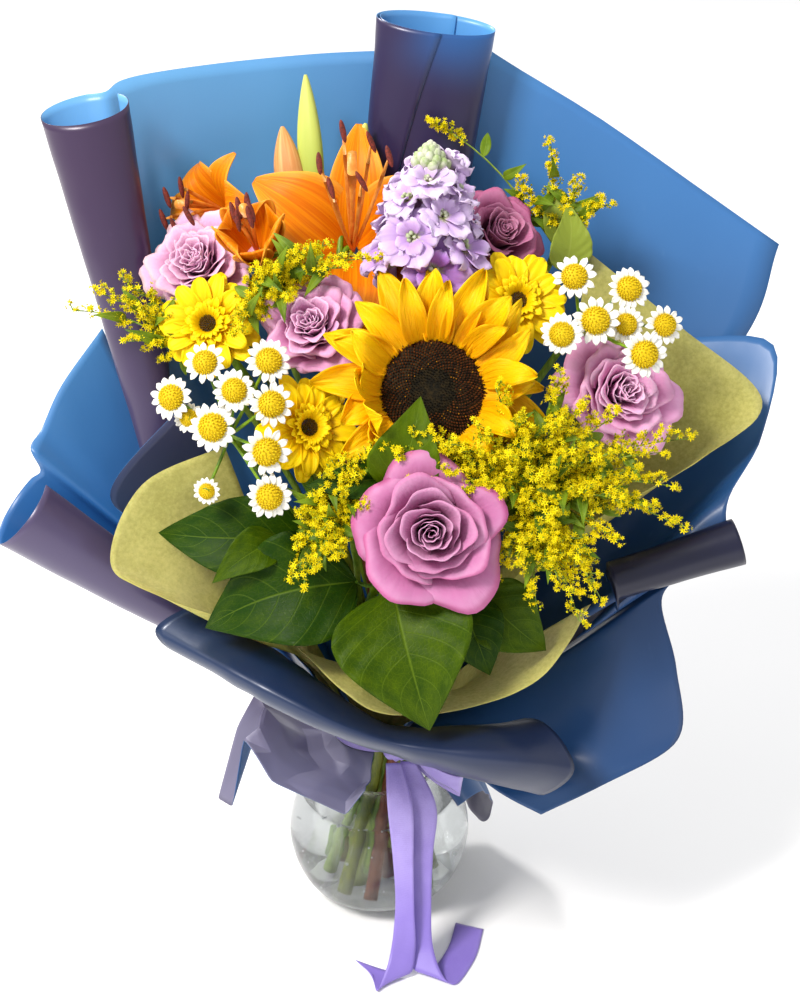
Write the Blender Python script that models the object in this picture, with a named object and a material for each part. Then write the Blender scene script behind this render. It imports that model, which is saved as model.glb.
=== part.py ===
"""Mixed flower bouquet, hand-tied, wrapped in two-sided film and standing in a glass bowl vase.

Frame: metres, +Z up, +X to the viewer's right, +Y away from the viewer. The origin is the middle of the
vase's flat base. The bouquet looks forward and up, so its flowers are placed on that face by (across, up,
out) in millimetres, and the wrapping by (x, y, z) in millimetres.
"""

import math
import random

import bmesh
import bpy
import numpy as np
from mathutils import Matrix, Vector

MM = 0.001
CLEAR = 0.0003
BLADE = 0.0007
FILM = 0.0007
PAPER = 0.0006
RIBBON = 0.0006

VASE_HEIGHT = 0.100
VASE_RADIUS = 0.060
VASE_FOOT = 0.032
VASE_MOUTH = 0.038
VASE_WALL = 0.0028
VASE_FLOOR = 0.008
WATER_LEVEL = 0.080
BELLY_HEIGHT = 0.047
SHOULDER_RADIUS = 0.0515
ROUND = 20

TIE = Vector((0.0, -0.005, 0.135))
WRAP_RADIUS = 22.0
LAYER_STEP = 1.4
BAND_RADIUS = 0.0300
BAND_THICKNESS = 0.001
BAND_WIDTH = 0.008
STEM_SPLAY = 0.0145
STEM_POINTS = 7
STEM_SIDES = 5
OVER_BAND = BAND_WIDTH * 1.5 + 5 * CLEAR
ROLL_STEPS = 6
ROLL_TUCK = 0.22

FACE_CENTRE = Vector((0.014, -0.020, 0.304))
FACE_TILT = math.radians(28)
FACE_OUT = Vector((0, -math.cos(FACE_TILT), math.sin(FACE_TILT)))
FACE_UP = Vector((0, math.sin(FACE_TILT), math.cos(FACE_TILT)))
RIGHT = Vector((1, 0, 0))
GOLDEN_TURN = math.radians(137.5)

SUNFLOWER_DISC = 0.029
SUNFLOWER_PETAL = 0.033
SUNFLOWER_SEED_ROWS = 16
GERBERA_RADIUS = 0.029
GERBERA_RAYS = 12
STOCK_FLORETS = 11
DAISY_RADIUS = 0.0125
DAISY_DOME = 0.0078
FLORET = 0.0042


# Places and materials

def face(across, up, out):
    return FACE_CENTRE + (RIGHT * across + FACE_UP * up + FACE_OUT * out) * MM


def mm(x, y, z):
    return Vector((x, y, z)) * MM


def facing(right=0.0, up=0.0):
    """The direction of a flower that looks out of the face, leant to the right and up by these slopes."""
    return (FACE_OUT + RIGHT * right + FACE_UP * up).normalized()


def aim(place, direction, turn=0.0):
    """The placement whose local +Z looks along direction, with local +Y up the face."""
    side = FACE_UP.cross(direction).normalized()
    turned = Matrix((side, direction.cross(side), direction)).transposed().to_4x4()
    return Matrix.Translation(place) @ turned @ Matrix.Rotation(turn, 4, "Z")


def finish(name, colour, roughness, alpha=1.0):
    made = bpy.data.materials.new(name)
    made.use_nodes = True
    shader = made.node_tree.nodes["Principled BSDF"]
    shader.inputs["Base Color"].default_value = (*colour, 1.0)
    shader.inputs["Roughness"].default_value = roughness
    shader.inputs["Metallic"].default_value = 0.0
    shader.inputs["Alpha"].default_value = alpha
    return made


def add(name, mesh, material):
    mesh.name = name
    mesh.materials.clear()
    mesh.materials.append(material)
    thing = bpy.data.objects.new(name, mesh)
    bpy.context.scene.collection.objects.link(thing)
    return thing


# Shapes that several pieces share

def to_mesh(shape, placement=None):
    bmesh.ops.recalc_face_normals(shape, faces=shape.faces[:])
    if placement:
        bmesh.ops.transform(shape, matrix=placement, verts=shape.verts[:])
    mesh = bpy.data.meshes.new("shape")
    shape.to_mesh(mesh)
    shape.free()
    return mesh


def spline(points, t):
    """The point at t, from 0 to 1, on a smooth curve through all the points."""
    spans = len(points) - 1
    at = min(max(t, 0.0) * spans, spans - 1e-6)
    i = int(at)
    f = at - i
    p, q = points[i], points[i + 1]
    before = points[i - 1] if i else p * 2 - q
    after = points[i + 2] if i + 2 <= spans else q * 2 - p
    return 0.5 * (
        p * 2 + (q - before) * f + (before * 2 - p * 5 + q * 4 - after) * f ** 2
        + (p * 3 - before - q * 3 + after) * f ** 3
    )


def blade(surface, across, along, thickness=BLADE, placement=None):
    """A closed thin blade about surface(s, t), with s from -1 to 1 across it and t from 0 to 1 along it."""
    shape = bmesh.new()
    bmesh.ops.create_grid(shape, x_segments=across, y_segments=along, size=1)
    for vertex in shape.verts:
        vertex.co = surface(vertex.co.x, (vertex.co.y + 1) / 2)
    bmesh.ops.triangulate(shape, faces=shape.faces[:])
    bmesh.ops.solidify(shape, geom=shape.faces[:], thickness=thickness)
    return to_mesh(shape, placement)


def turned(profile, sides, placement=None):
    """A closed body turned about local Z; its (radius, height) profile starts and ends on the axis."""
    shape = bmesh.new()
    points = [shape.verts.new((radius, 0, height)) for radius, height in profile]
    edges = [shape.edges.new(pair) for pair in zip(points, points[1:])]
    bmesh.ops.spin(
        shape, geom=points + edges, axis=(0, 0, 1), cent=(0, 0, 0),
        angle=math.tau, steps=sides, use_merge=True,
    )
    bmesh.ops.remove_doubles(shape, verts=shape.verts[:], dist=1e-6)
    return to_mesh(shape, placement)


def tube(points, radii, sides=STEM_SIDES):
    """A closed tube through the points: a ring at each, bridged to the next, and capped ends."""
    shape = bmesh.new()
    rings = []
    last = len(points) - 1
    for i, (point, radius) in enumerate(zip(points, radii)):
        ahead = points[min(i + 1, last)] - points[max(i - 1, 0)]
        placement = Matrix.Translation(point) @ ahead.to_track_quat("Z", "Y").to_matrix().to_4x4()
        ring = bmesh.ops.create_circle(
            shape, cap_ends=i in (0, last), segments=sides, radius=radius, matrix=placement
        )["verts"]
        rings.append(list({edge for vertex in ring for edge in vertex.link_edges}))
    for ring, following in zip(rings, rings[1:]):
        bmesh.ops.bridge_loops(shape, edges=ring + following)
    return to_mesh(shape)


def outer_body(mesh):
    """Keeps the largest closed shell of a mesh: loose scraps and sealed hollows go."""
    shape = bmesh.new()
    shape.from_mesh(mesh)
    bmesh.ops.remove_doubles(shape, verts=shape.verts[:], dist=2e-6)
    left = set(shape.faces)
    shells = []
    while left:
        shell = {left.pop()}
        reach = list(shell)
        while reach:
            for edge in reach.pop().edges:
                for beside in edge.link_faces:
                    if beside in left:
                        left.remove(beside)
                        shell.add(beside)
                        reach.append(beside)
        shells.append(shell)
    size = {id(shell): sum(part.calc_area() for part in shell) for shell in shells}
    keep = max(shells, key=lambda shell: size[id(shell)])
    spare = [part for shell in shells if shell is not keep for part in shell]
    bmesh.ops.delete(shape, geom=spare, context="FACES")
    shape.to_mesh(mesh)
    shape.free()
    return mesh


def fuse(name, meshes, material, solver="EXACT"):
    """One object from overlapping closed meshes, joined by one Boolean union on a collection."""
    whole = add(name, meshes[0], material)
    others = bpy.data.collections.new(name + " repeats")
    bpy.context.scene.collection.children.link(others)
    for mesh in meshes[1:]:
        others.objects.link(bpy.data.objects.new("repeat", mesh))
    union = whole.modifiers.new("union", "BOOLEAN")
    union.operation = "UNION"
    union.operand_type = "COLLECTION"
    union.collection = others
    union.solver = solver
    bpy.context.view_layer.update()
    graph = bpy.context.evaluated_depsgraph_get()
    joined = bpy.data.meshes.new_from_object(whole.evaluated_get(graph))
    whole.modifiers.remove(union)
    whole.data = outer_body(joined)
    for repeat in others.objects[:]:
        bpy.data.objects.remove(repeat)
    bpy.data.collections.remove(others)
    return whole


# Glass bowl vase and its water

def bowl_profile(inset, low, high, steps=9):
    """The bowl's outline, bottom to top: foot, belly and neck, drawn in by inset."""
    outline = [
        Vector((VASE_FOOT, 0)), Vector((SHOULDER_RADIUS, 0.016)),
        Vector((VASE_RADIUS, BELLY_HEIGHT)), Vector((SHOULDER_RADIUS, 0.079)),
        Vector((VASE_MOUTH - 0.001, 0.094)), Vector((VASE_MOUTH + 0.001, VASE_HEIGHT)),
    ]
    found = [spline(outline, i / 40) for i in range(41)]
    kept = [p for p in found if low < p.y < high]
    chosen = [kept[round(i * (len(kept) - 1) / (steps - 1))] for i in range(steps)]
    return [(p.x - inset, p.y) for p in chosen]


def make_vase(glass):
    outer = bowl_profile(0.0, 0.002, 0.098, 6)
    inner = bowl_profile(VASE_WALL, VASE_FLOOR + 0.003, 0.098, 5)
    profile = (
        [(0, 0), (VASE_FOOT - 0.001, 0)] + outer
        + [(VASE_MOUTH + 0.0012, VASE_HEIGHT), (VASE_MOUTH - VASE_WALL + 0.0005, VASE_HEIGHT)]
        + inner[::-1] + [(inner[0][0] - 0.012, VASE_FLOOR + 0.0004), (0, VASE_FLOOR)]
    )
    return add("vase_glass", turned(profile, ROUND), glass)


def make_water(water, stems):
    """Water up to its level, with a plain hole round each stem."""
    inner = bowl_profile(VASE_WALL, VASE_FLOOR + 0.003, 0.098, 5)
    wall = [(radius - 2.5 * CLEAR, height) for radius, height in inner if height < WATER_LEVEL]
    floor = VASE_FLOOR + 0.0008
    profile = [(0, floor), (wall[0][0] - 0.012, floor)] + wall + [(0, wall[-1][1])]
    body = add("vase_water", turned(profile, ROUND), water)
    cutters = bpy.data.collections.new("stem holes")
    bpy.context.scene.collection.children.link(cutters)
    for stem in stems:
        run = (stem.tie - stem.foot).normalized()
        radius = (stem.radius + CLEAR) / math.cos(math.pi / STEM_SIDES)
        hole = tube([stem.foot - run * CLEAR, stem.tie], [radius] * 2)
        cutters.objects.link(bpy.data.objects.new("hole", hole))
    cut = body.modifiers.new("holes", "BOOLEAN")
    cut.operation = "DIFFERENCE"
    cut.operand_type = "COLLECTION"
    cut.collection = cutters
    bpy.context.view_layer.update()
    graph = bpy.context.evaluated_depsgraph_get()
    joined = bpy.data.meshes.new_from_object(body.evaluated_get(graph))
    body.modifiers.remove(cut)
    body.data = outer_body(joined)
    for hole in cutters.objects[:]:
        bpy.data.objects.remove(hole)
    bpy.data.collections.remove(cutters)
    return body


# Stems: a spiral hand-tied bunch, each straight below the tie and curving out to its flower above it

class Stem:
    def __init__(self, name, end, direction, radius, foot_height):
        self.name = name
        self.end = end
        self.direction = direction
        self.radius = radius
        self.foot_height = foot_height
        self.tie = TIE.copy()
        self.foot = TIE.copy()
        self.bow = Vector((0, 0, 0))

    def above(self, t):
        """The point at t on the curve from the tie to the flower, which it meets square."""
        run = (self.tie - self.foot).normalized()
        reach = (self.end - self.tie).length
        first = self.tie + run * reach * 0.42
        second = self.end - self.direction * reach * 0.14
        curve = (
            self.tie * (1 - t) ** 3 + first * 3 * t * (1 - t) ** 2
            + second * 3 * t ** 2 * (1 - t) + self.end * t ** 3
        )
        return curve + self.bow * 16 * t ** 2 * (1 - t) ** 2

    def route(self):
        """Points from the foot to the end, the last stretch straight behind the flower."""
        points = [self.foot] + [self.above(i / (STEM_POINTS - 3)) for i in range(STEM_POINTS - 2)]
        return points[:-1] + [self.end - self.direction * 0.005, self.end]


def gather(stems):
    """Packs the stems at the tie, each a quarter turn behind its flower, and splays their feet."""
    places = []
    for stem in stems:
        slope = (stem.end - TIE).xy / (stem.end - TIE).z
        places.append(np.array([slope.y, -slope.x]) * 0.024)
    places = np.array(places)
    radii = np.array([stem.radius for stem in stems])
    for turn in range(900):
        places *= 0.994 if turn < 700 else 1.0
        for i in range(len(stems)):
            for j in range(i):
                apart = places[i] - places[j]
                distance = max(float(np.hypot(*apart)), 1e-6)
                short = radii[i] + radii[j] + 2.2 * CLEAR - distance
                if short > 0:
                    push = apart / distance * short / 2
                    places[i] += push
                    places[j] -= push
    for stem, place in zip(stems, places):
        across = Vector((-place[1], place[0])) * STEM_SPLAY / MM
        stem.tie = TIE + Vector((*place, 0))
        drop = TIE.z - stem.foot_height
        stem.foot = stem.tie - Vector((across.x, across.y, 1)) * drop
    lean_clear(stems)


def lean_clear(stems):
    """Bows the stems sideways a little above the tie until each pair passes with room to spare."""
    samples = [i / 14 for i in range(1, 14)]
    for _ in range(60):
        lines = [[stem.above(t) for t in samples] for stem in stems]
        for i, stem in enumerate(stems):
            for j, other in enumerate(stems[:i]):
                room = stem.radius + other.radius + 4 * CLEAR
                for p, t in zip(lines[i], samples):
                    k = min(range(len(samples)), key=lambda k: (lines[j][k] - p).length_squared)
                    apart = p - lines[j][k]
                    run = (lines[j][min(k + 1, 12)] - lines[j][max(k - 1, 0)]).normalized()
                    apart -= run * apart.dot(run)
                    if apart.length < room and 0.02 < t < 0.97:
                        push = Vector((apart.x, apart.y, 0)).normalized() * (room - apart.length) * 0.35
                        stem.bow += push
                        other.bow -= push


def plain_stem(stem, material, swell=1.0):
    radii = [stem.radius] * (STEM_POINTS - 1) + [stem.radius * swell]
    return add(stem.name, tube(stem.route(), radii), material)


# Flowers, each about its own local +Z

def sunflower(place, material, disc_material):
    """Two rings of pointed petals on a green back plate, and the seed disc in front of it."""
    rng = random.Random(4)
    rim = SUNFLOWER_DISC
    plate = [(0, -0.009), (0.018, -0.009), (rim, -0.004), (rim, -0.0008), (0, -0.0008)]
    pieces = [turned(plate, SUNFLOWER_SEED_ROWS, place)]
    for ring, count, lift, length in ((0, 12, 0.010, SUNFLOWER_PETAL), (1, 11, 0.001, 1.1 * SUNFLOWER_PETAL)):
        for i in range(count):
            turn = math.tau * (i + 0.5 * ring + rng.uniform(-0.12, 0.12)) / count
            twist = rng.uniform(-0.5, 0.5)
            grown = length * rng.uniform(0.86, 1.04)
            rise = lift + rng.uniform(-0.002, 0.002)

            def petal(s, t, grown=grown, twist=twist, rise=rise, ring=ring):
                wide = 0.0096 * math.sin(math.pi * min(0.13 + 0.87 * t, 0.985)) ** 0.85
                reach = 0.0245 + (grown + 0.0045) * t
                high = -0.0045 - 0.002 * ring + rise * math.sin(t * 2.2) + twist * wide * s * t
                return Vector((reach, s * wide, high + 0.0025 * abs(s) * t))

            pieces.append(blade(petal, 2, 2, BLADE, place @ Matrix.Rotation(turn, 4, "Z")))
    fuse("sunflower_petals", pieces, material)

    shape = bmesh.new()
    edge = SUNFLOWER_DISC - 0.0005
    rows = [
        (0, 0), (edge, 0), (edge, 0.003), (0.024, 0.0062), (0.0185, 0.0075), (0.0125, 0.0058),
        (0.0065, 0.0040), (0, 0.0036),
    ]
    points = [shape.verts.new((radius, 0, height)) for radius, height in rows]
    edges = [shape.edges.new(pair) for pair in zip(points, points[1:])]
    bmesh.ops.spin(
        shape, geom=points + edges, axis=(0, 0, 1), cent=(0, 0, 0),
        angle=math.tau, steps=SUNFLOWER_SEED_ROWS, use_merge=True,
    )
    bmesh.ops.remove_doubles(shape, verts=shape.verts[:], dist=1e-6)
    for vertex in shape.verts:
        radius = vertex.co.xy.length
        if vertex.co.z > 0.001 and radius > 0.001:
            around = math.atan2(vertex.co.y, vertex.co.x) / math.tau
            seed = round(around * SUNFLOWER_SEED_ROWS) + round(radius / 0.006)
            vertex.co.z += 0.0006 if seed % 2 else -0.0006
    add("sunflower_disc", to_mesh(shape, place), disc_material)


def rose(name, place, size, petals, material):
    """Cupped petals wound round a bud: close and upright inside, wide and flared outside."""
    bud = [(0, 0.0), (0.008, 0.002), (0.0105, 0.012), (0.0085, 0.026), (0, 0.035)]
    pieces = [turned([(r * size, z * size) for r, z in bud], 6, place)]
    for i in range(petals):
        outward = i / (petals - 1)
        turn = i * GOLDEN_TURN
        radius = (0.0125 + 0.0255 * outward ** 0.9) * size
        height = (0.0385 - 0.013 * outward ** 1.4) * size
        spread = math.radians(74 - 26 * outward)
        lip = 0.0055 * outward * size

        def petal(s, t, turn=turn, radius=radius, height=height, spread=spread, lip=lip):
            swell = math.sin(min(t, 1.0) * math.pi / 2) ** 0.8
            r = 0.0045 * size + (radius - 0.0045 * size) * swell + lip * t ** 4 + 0.0012 * s * size * t
            wide = 0.55 + 0.45 * math.sin(math.pi * min(t, 0.75) / 1.5)
            angle = turn + s * spread * wide
            z = height * t ** 1.35 - 0.20 * height * s ** 2 * t ** 2 + 0.003 * size
            return Vector((r * math.cos(angle), r * math.sin(angle), z))

        pieces.append(blade(petal, 3, 2, BLADE, place))
    fuse(name, pieces, material)


def gerbera(name, place, material):
    """A ring of narrow round-ended rays on a flat head with a raised dark middle."""
    head = [(0, -0.003), (0.008, -0.0022), (0.0095, 0.0008), (0.0075, 0.0034), (0, 0.0030)]
    pieces = [turned(head, 7, place)]
    rng = random.Random(len(name))
    for i in range(GERBERA_RAYS):
        turn = math.tau * (i + rng.uniform(-0.1, 0.1)) / GERBERA_RAYS
        rise = (0.0012 if i % 2 else -0.0006) + rng.uniform(-0.0002, 0.0002)

        def ray(s, t, rise=rise):
            wide = 0.0012 + 0.0046 * math.sin(math.pi * (0.06 + 0.74 * t)) ** 0.9
            reach = 0.0055 + (GERBERA_RADIUS - 0.0055) * t
            return Vector((reach, s * wide, rise + 0.0035 * t - 0.003 * t ** 2))

        pieces.append(blade(ray, 1, 2, BLADE, place @ Matrix.Rotation(turn, 4, "Z")))
    fuse(name, pieces, material)


def lily(name, place, length, flare, material, stamens=True, turn=0.0):
    """Six tepals from one throat, curling back at their tips, with six stamens and a pistil."""
    throat = [(0, -0.002), (0.0045, -0.001), (0.006, 0.006), (0.004, 0.014), (0, 0.015)]
    pieces = [turned(throat, 6, place)]
    for i in range(6):
        inner = i % 2
        wide_at = 0.0145 if inner else 0.0105

        def tepal(s, t, wide_at=wide_at, inner=inner):
            wide = wide_at * math.sin(math.pi * min(0.03 + 0.96 * t, 0.985)) ** 0.8 * length / 0.075
            reach = 0.0035 + length * (flare * t + 0.25 * t ** 2)
            high = length * (0.62 * math.sin(t * 2.0) - 0.16 * t ** 3) * (1.25 - flare)
            high += 0.0045 * inner * math.sin(math.pi * t) ** 0.5
            return Vector((reach, s * wide, high + 0.0032 * abs(s) * math.sin(math.pi * t)))

        spin = Matrix.Rotation(turn + math.tau * i / 6, 4, "Z")
        pieces.append(blade(tepal, 2, 3, BLADE, place @ spin))
    if stamens:
        for i in range(6):
            angle = turn + math.tau * (i + 0.5) / 6
            out = Vector((math.cos(angle), math.sin(angle), 0))
            places = ((0.0015, 0.011), (0.012, length * 0.6), (0.020, length * 0.76))
            points = [place @ (out * reach + Vector((0, 0, high))) for reach, high in places]
            pieces.append(tube(points, [0.0010, 0.0009, 0.0022], 3))
    fuse(name, pieces, material)


def lobed(profile, lobes, notch, placement):
    """A turned floret whose rim is cut into lobes: every other point of its widest ring is drawn in."""
    shape = bmesh.new()
    points = [shape.verts.new((radius, 0, height)) for radius, height in profile]
    edges = [shape.edges.new(pair) for pair in zip(points, points[1:])]
    bmesh.ops.spin(
        shape, geom=points + edges, axis=(0, 0, 1), cent=(0, 0, 0),
        angle=math.tau, steps=2 * lobes, use_merge=True,
    )
    bmesh.ops.remove_doubles(shape, verts=shape.verts[:], dist=1e-6)
    rim = max(radius for radius, _ in profile)
    for vertex in shape.verts:
        between = round(math.atan2(vertex.co.y, vertex.co.x) / math.pi * lobes) % 2
        if vertex.co.xy.length > rim - 1e-5 and between:
            vertex.co.x *= notch
            vertex.co.y *= notch
    return to_mesh(shape, placement)


def stock(place, material):
    """Double florets packed round an upright spike, smaller towards its tip."""
    spike = [(0, 0), (0.010, 0.004), (0.012, 0.030), (0.007, 0.060), (0.004, 0.074), (0, 0.076)]
    pieces = [turned(spike, 6, place)]
    for i in range(STOCK_FLORETS):
        up = i / (STOCK_FLORETS - 1)
        radius = 0.0125 - 0.0050 * up
        lean = Matrix.Rotation(math.radians(72 - 42 * up), 4, "Y")
        seat = Matrix.Translation((0.0150 - 0.0105 * up, 0, 0.006 + 0.062 * up))
        out = Matrix.Rotation(i * GOLDEN_TURN, 4, "Z") @ seat
        floret = [(0, -0.003), (radius, 0.0025), (radius * 0.35, 0.0032), (0, 0.0012)]
        pieces.append(lobed(floret, 5, 0.66, place @ out @ lean))
    fuse("stock_florets", pieces, material)


# Sprays: a stem, its branches and everything on them, fused into one body

def branch(start, end, sag, radius, count=4, sides=3):
    """A branch that leaves its stem steeply and turns towards its head."""
    middle = start.lerp(end, 0.5) + sag
    points = [spline([start, middle, end], i / (count - 1)) for i in range(count)]
    return tube(points, [radius] * count, sides)


def daisies(stem, middle, heads, material):
    """A spray of daisies that look outwards from its middle."""
    pieces = [tube(stem.route(), [stem.radius] * STEM_POINTS)]
    for i, (across, up, out) in enumerate(heads):
        head = face(across, up, out)
        direction = facing((across - middle[0]) * 0.008, (up - middle[1]) * 0.006)
        start = stem.end - stem.direction * (0.001 + 0.0009 * (i % 5))
        sag = (head - start).length * 0.12
        pieces.append(branch(start, head - direction * 0.001, -direction * sag, 0.0011, 3))
        daisy = [(0, -0.0045), (DAISY_RADIUS, 0), (DAISY_DOME, 0.0030), (0, 0.0062)]
        pieces.append(lobed(daisy, 6, 0.74, aim(head, direction, i * 0.4)))
    fuse(stem.name, pieces, material)


def goldenrod(stem, tips, material, seed, radius=FLORET, leaf=None):
    """Arching twigs knotted with tight clusters of florets, drawn larger than life, and one leaf at most."""
    rng = random.Random(seed)
    pieces = [tube(stem.route(), [stem.radius] * STEM_POINTS, 4)]
    if leaf:
        pieces += stalked_leaf(stem, *leaf)
    for i, (across, up, out, dense) in enumerate(tips):
        tip = face(across, up, out)
        start = stem.end - stem.direction * (0.0008 + 0.0012 * (i % 4))
        lift = FACE_UP * (tip - start).length * 0.10
        middle = start.lerp(tip, 0.5) + lift
        clusters = max(2, round((tip - start).length * dense / (radius * 2.1)))
        points, radii = [start], [0.0011]
        for k in range(2 * clusters + 1):
            along = 1 - dense + dense * k / (2 * clusters)
            jitter = Vector([rng.uniform(-1, 1) for _ in range(3)]) * radius * 0.45 * (k % 2)
            points.append(spline([start, middle, tip], along) + jitter)
            full = radius * (1.15 - 0.5 * along) * rng.uniform(0.85, 1.2)
            radii.append(full if k % 2 else 0.0012)
        pieces.append(tube(points, radii, 3))
    fuse(stem.name, pieces, material)


def leaf_blade(base, tip, width, facing_direction, cup=0.004, droop=0.0, along=6):
    """A broad pointed leaf, folded a little along its rib and waved at its edge."""
    axis = tip - base
    length = axis.length
    axis.normalize()
    side = axis.cross(facing_direction).normalized()
    up = side.cross(axis)

    def leaf(s, t):
        wide = width / 2 * math.sin(math.pi * min(0.05 + 0.93 * t, 0.985)) ** 0.72 * (1.12 - 0.35 * t)
        wave = 0.0018 * math.sin(9 * t + s) * abs(s)
        arch = droop * 4 * t * (1 - t)
        fold = cup * abs(s) * math.sin(math.pi * t)
        return base + axis * length * t + side * s * wide + up * (fold + wave + arch)

    return blade(leaf, 2, along, BLADE)


def stalked_leaf(stem, base, tip, width, direction, droop):
    """A leaf and the stalk that carries it from the end of its stem."""
    under = base + (tip - base) * 0.10 + direction * droop * 0.36
    return [
        branch(stem.end - stem.direction * 0.004, under, -direction * 0.004, 0.0013, 3),
        leaf_blade(base, tip, width, direction, droop=droop),
    ]


def leafy(stem, leaves, material):
    pieces = [tube(stem.route(), [stem.radius] * STEM_POINTS)]
    for leaf in leaves:
        pieces += stalked_leaf(stem, *leaf)
    fuse(stem.name, pieces, material)


# Wrapping: sheets that fan out of the tie, some with an edge rolled up

def column(angle, layer, *places, rise=BAND_WIDTH / 2 + 5 * CLEAR):
    """One line of a sheet from the tie outwards, which it leaves at this angle, in this layer of the wrap."""
    radius = WRAP_RADIUS + LAYER_STEP * layer
    turn = math.radians(angle)
    start = TIE + mm(radius * math.cos(turn), radius * math.sin(turn), 0) + Vector((0, 0, rise))
    return [start] + [mm(*place) for place in places]


def rolled_edge(low, high, width, depth, start, sweep, pinch):
    """Columns of an edge rolled about the line low to high: 0 degrees is the viewer's side of the roll."""
    low, high = mm(*low), mm(*high)
    axis = (high - low).normalized()
    front = (FACE_OUT - axis * FACE_OUT.dot(axis)).normalized()
    side = axis.cross(front)
    columns = []
    for k in range(ROLL_STEPS + 1):
        around = math.radians(start + sweep * k / ROLL_STEPS)
        shrink = 1 - ROLL_TUCK * k / ROLL_STEPS
        lean = (front * math.cos(around) * depth + side * math.sin(around) * width) * MM / 2
        columns.append([
            low.lerp(high, j / 3) + lean * shrink * (pinch + (1 - pinch) * j / 3) for j in range(4)
        ])
    return columns


def sheet(name, columns, material, thickness, finer=1, along=5, gathered=True):
    """A sheet through its columns. The first row of a gathered one stays straight inside the tie."""
    first = 1 / along if gathered else 0.0

    def surface(s, t):
        fanned = max(0.0, (t - first) / (1 - first))
        place = spline([spline(points, fanned) for points in columns], (s + 1) / 2)
        return place - Vector((0, 0, BAND_WIDTH)) if t < first / 2 else place

    return add(name, blade(surface, finer * (len(columns) - 1), along, thickness), material)


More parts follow.
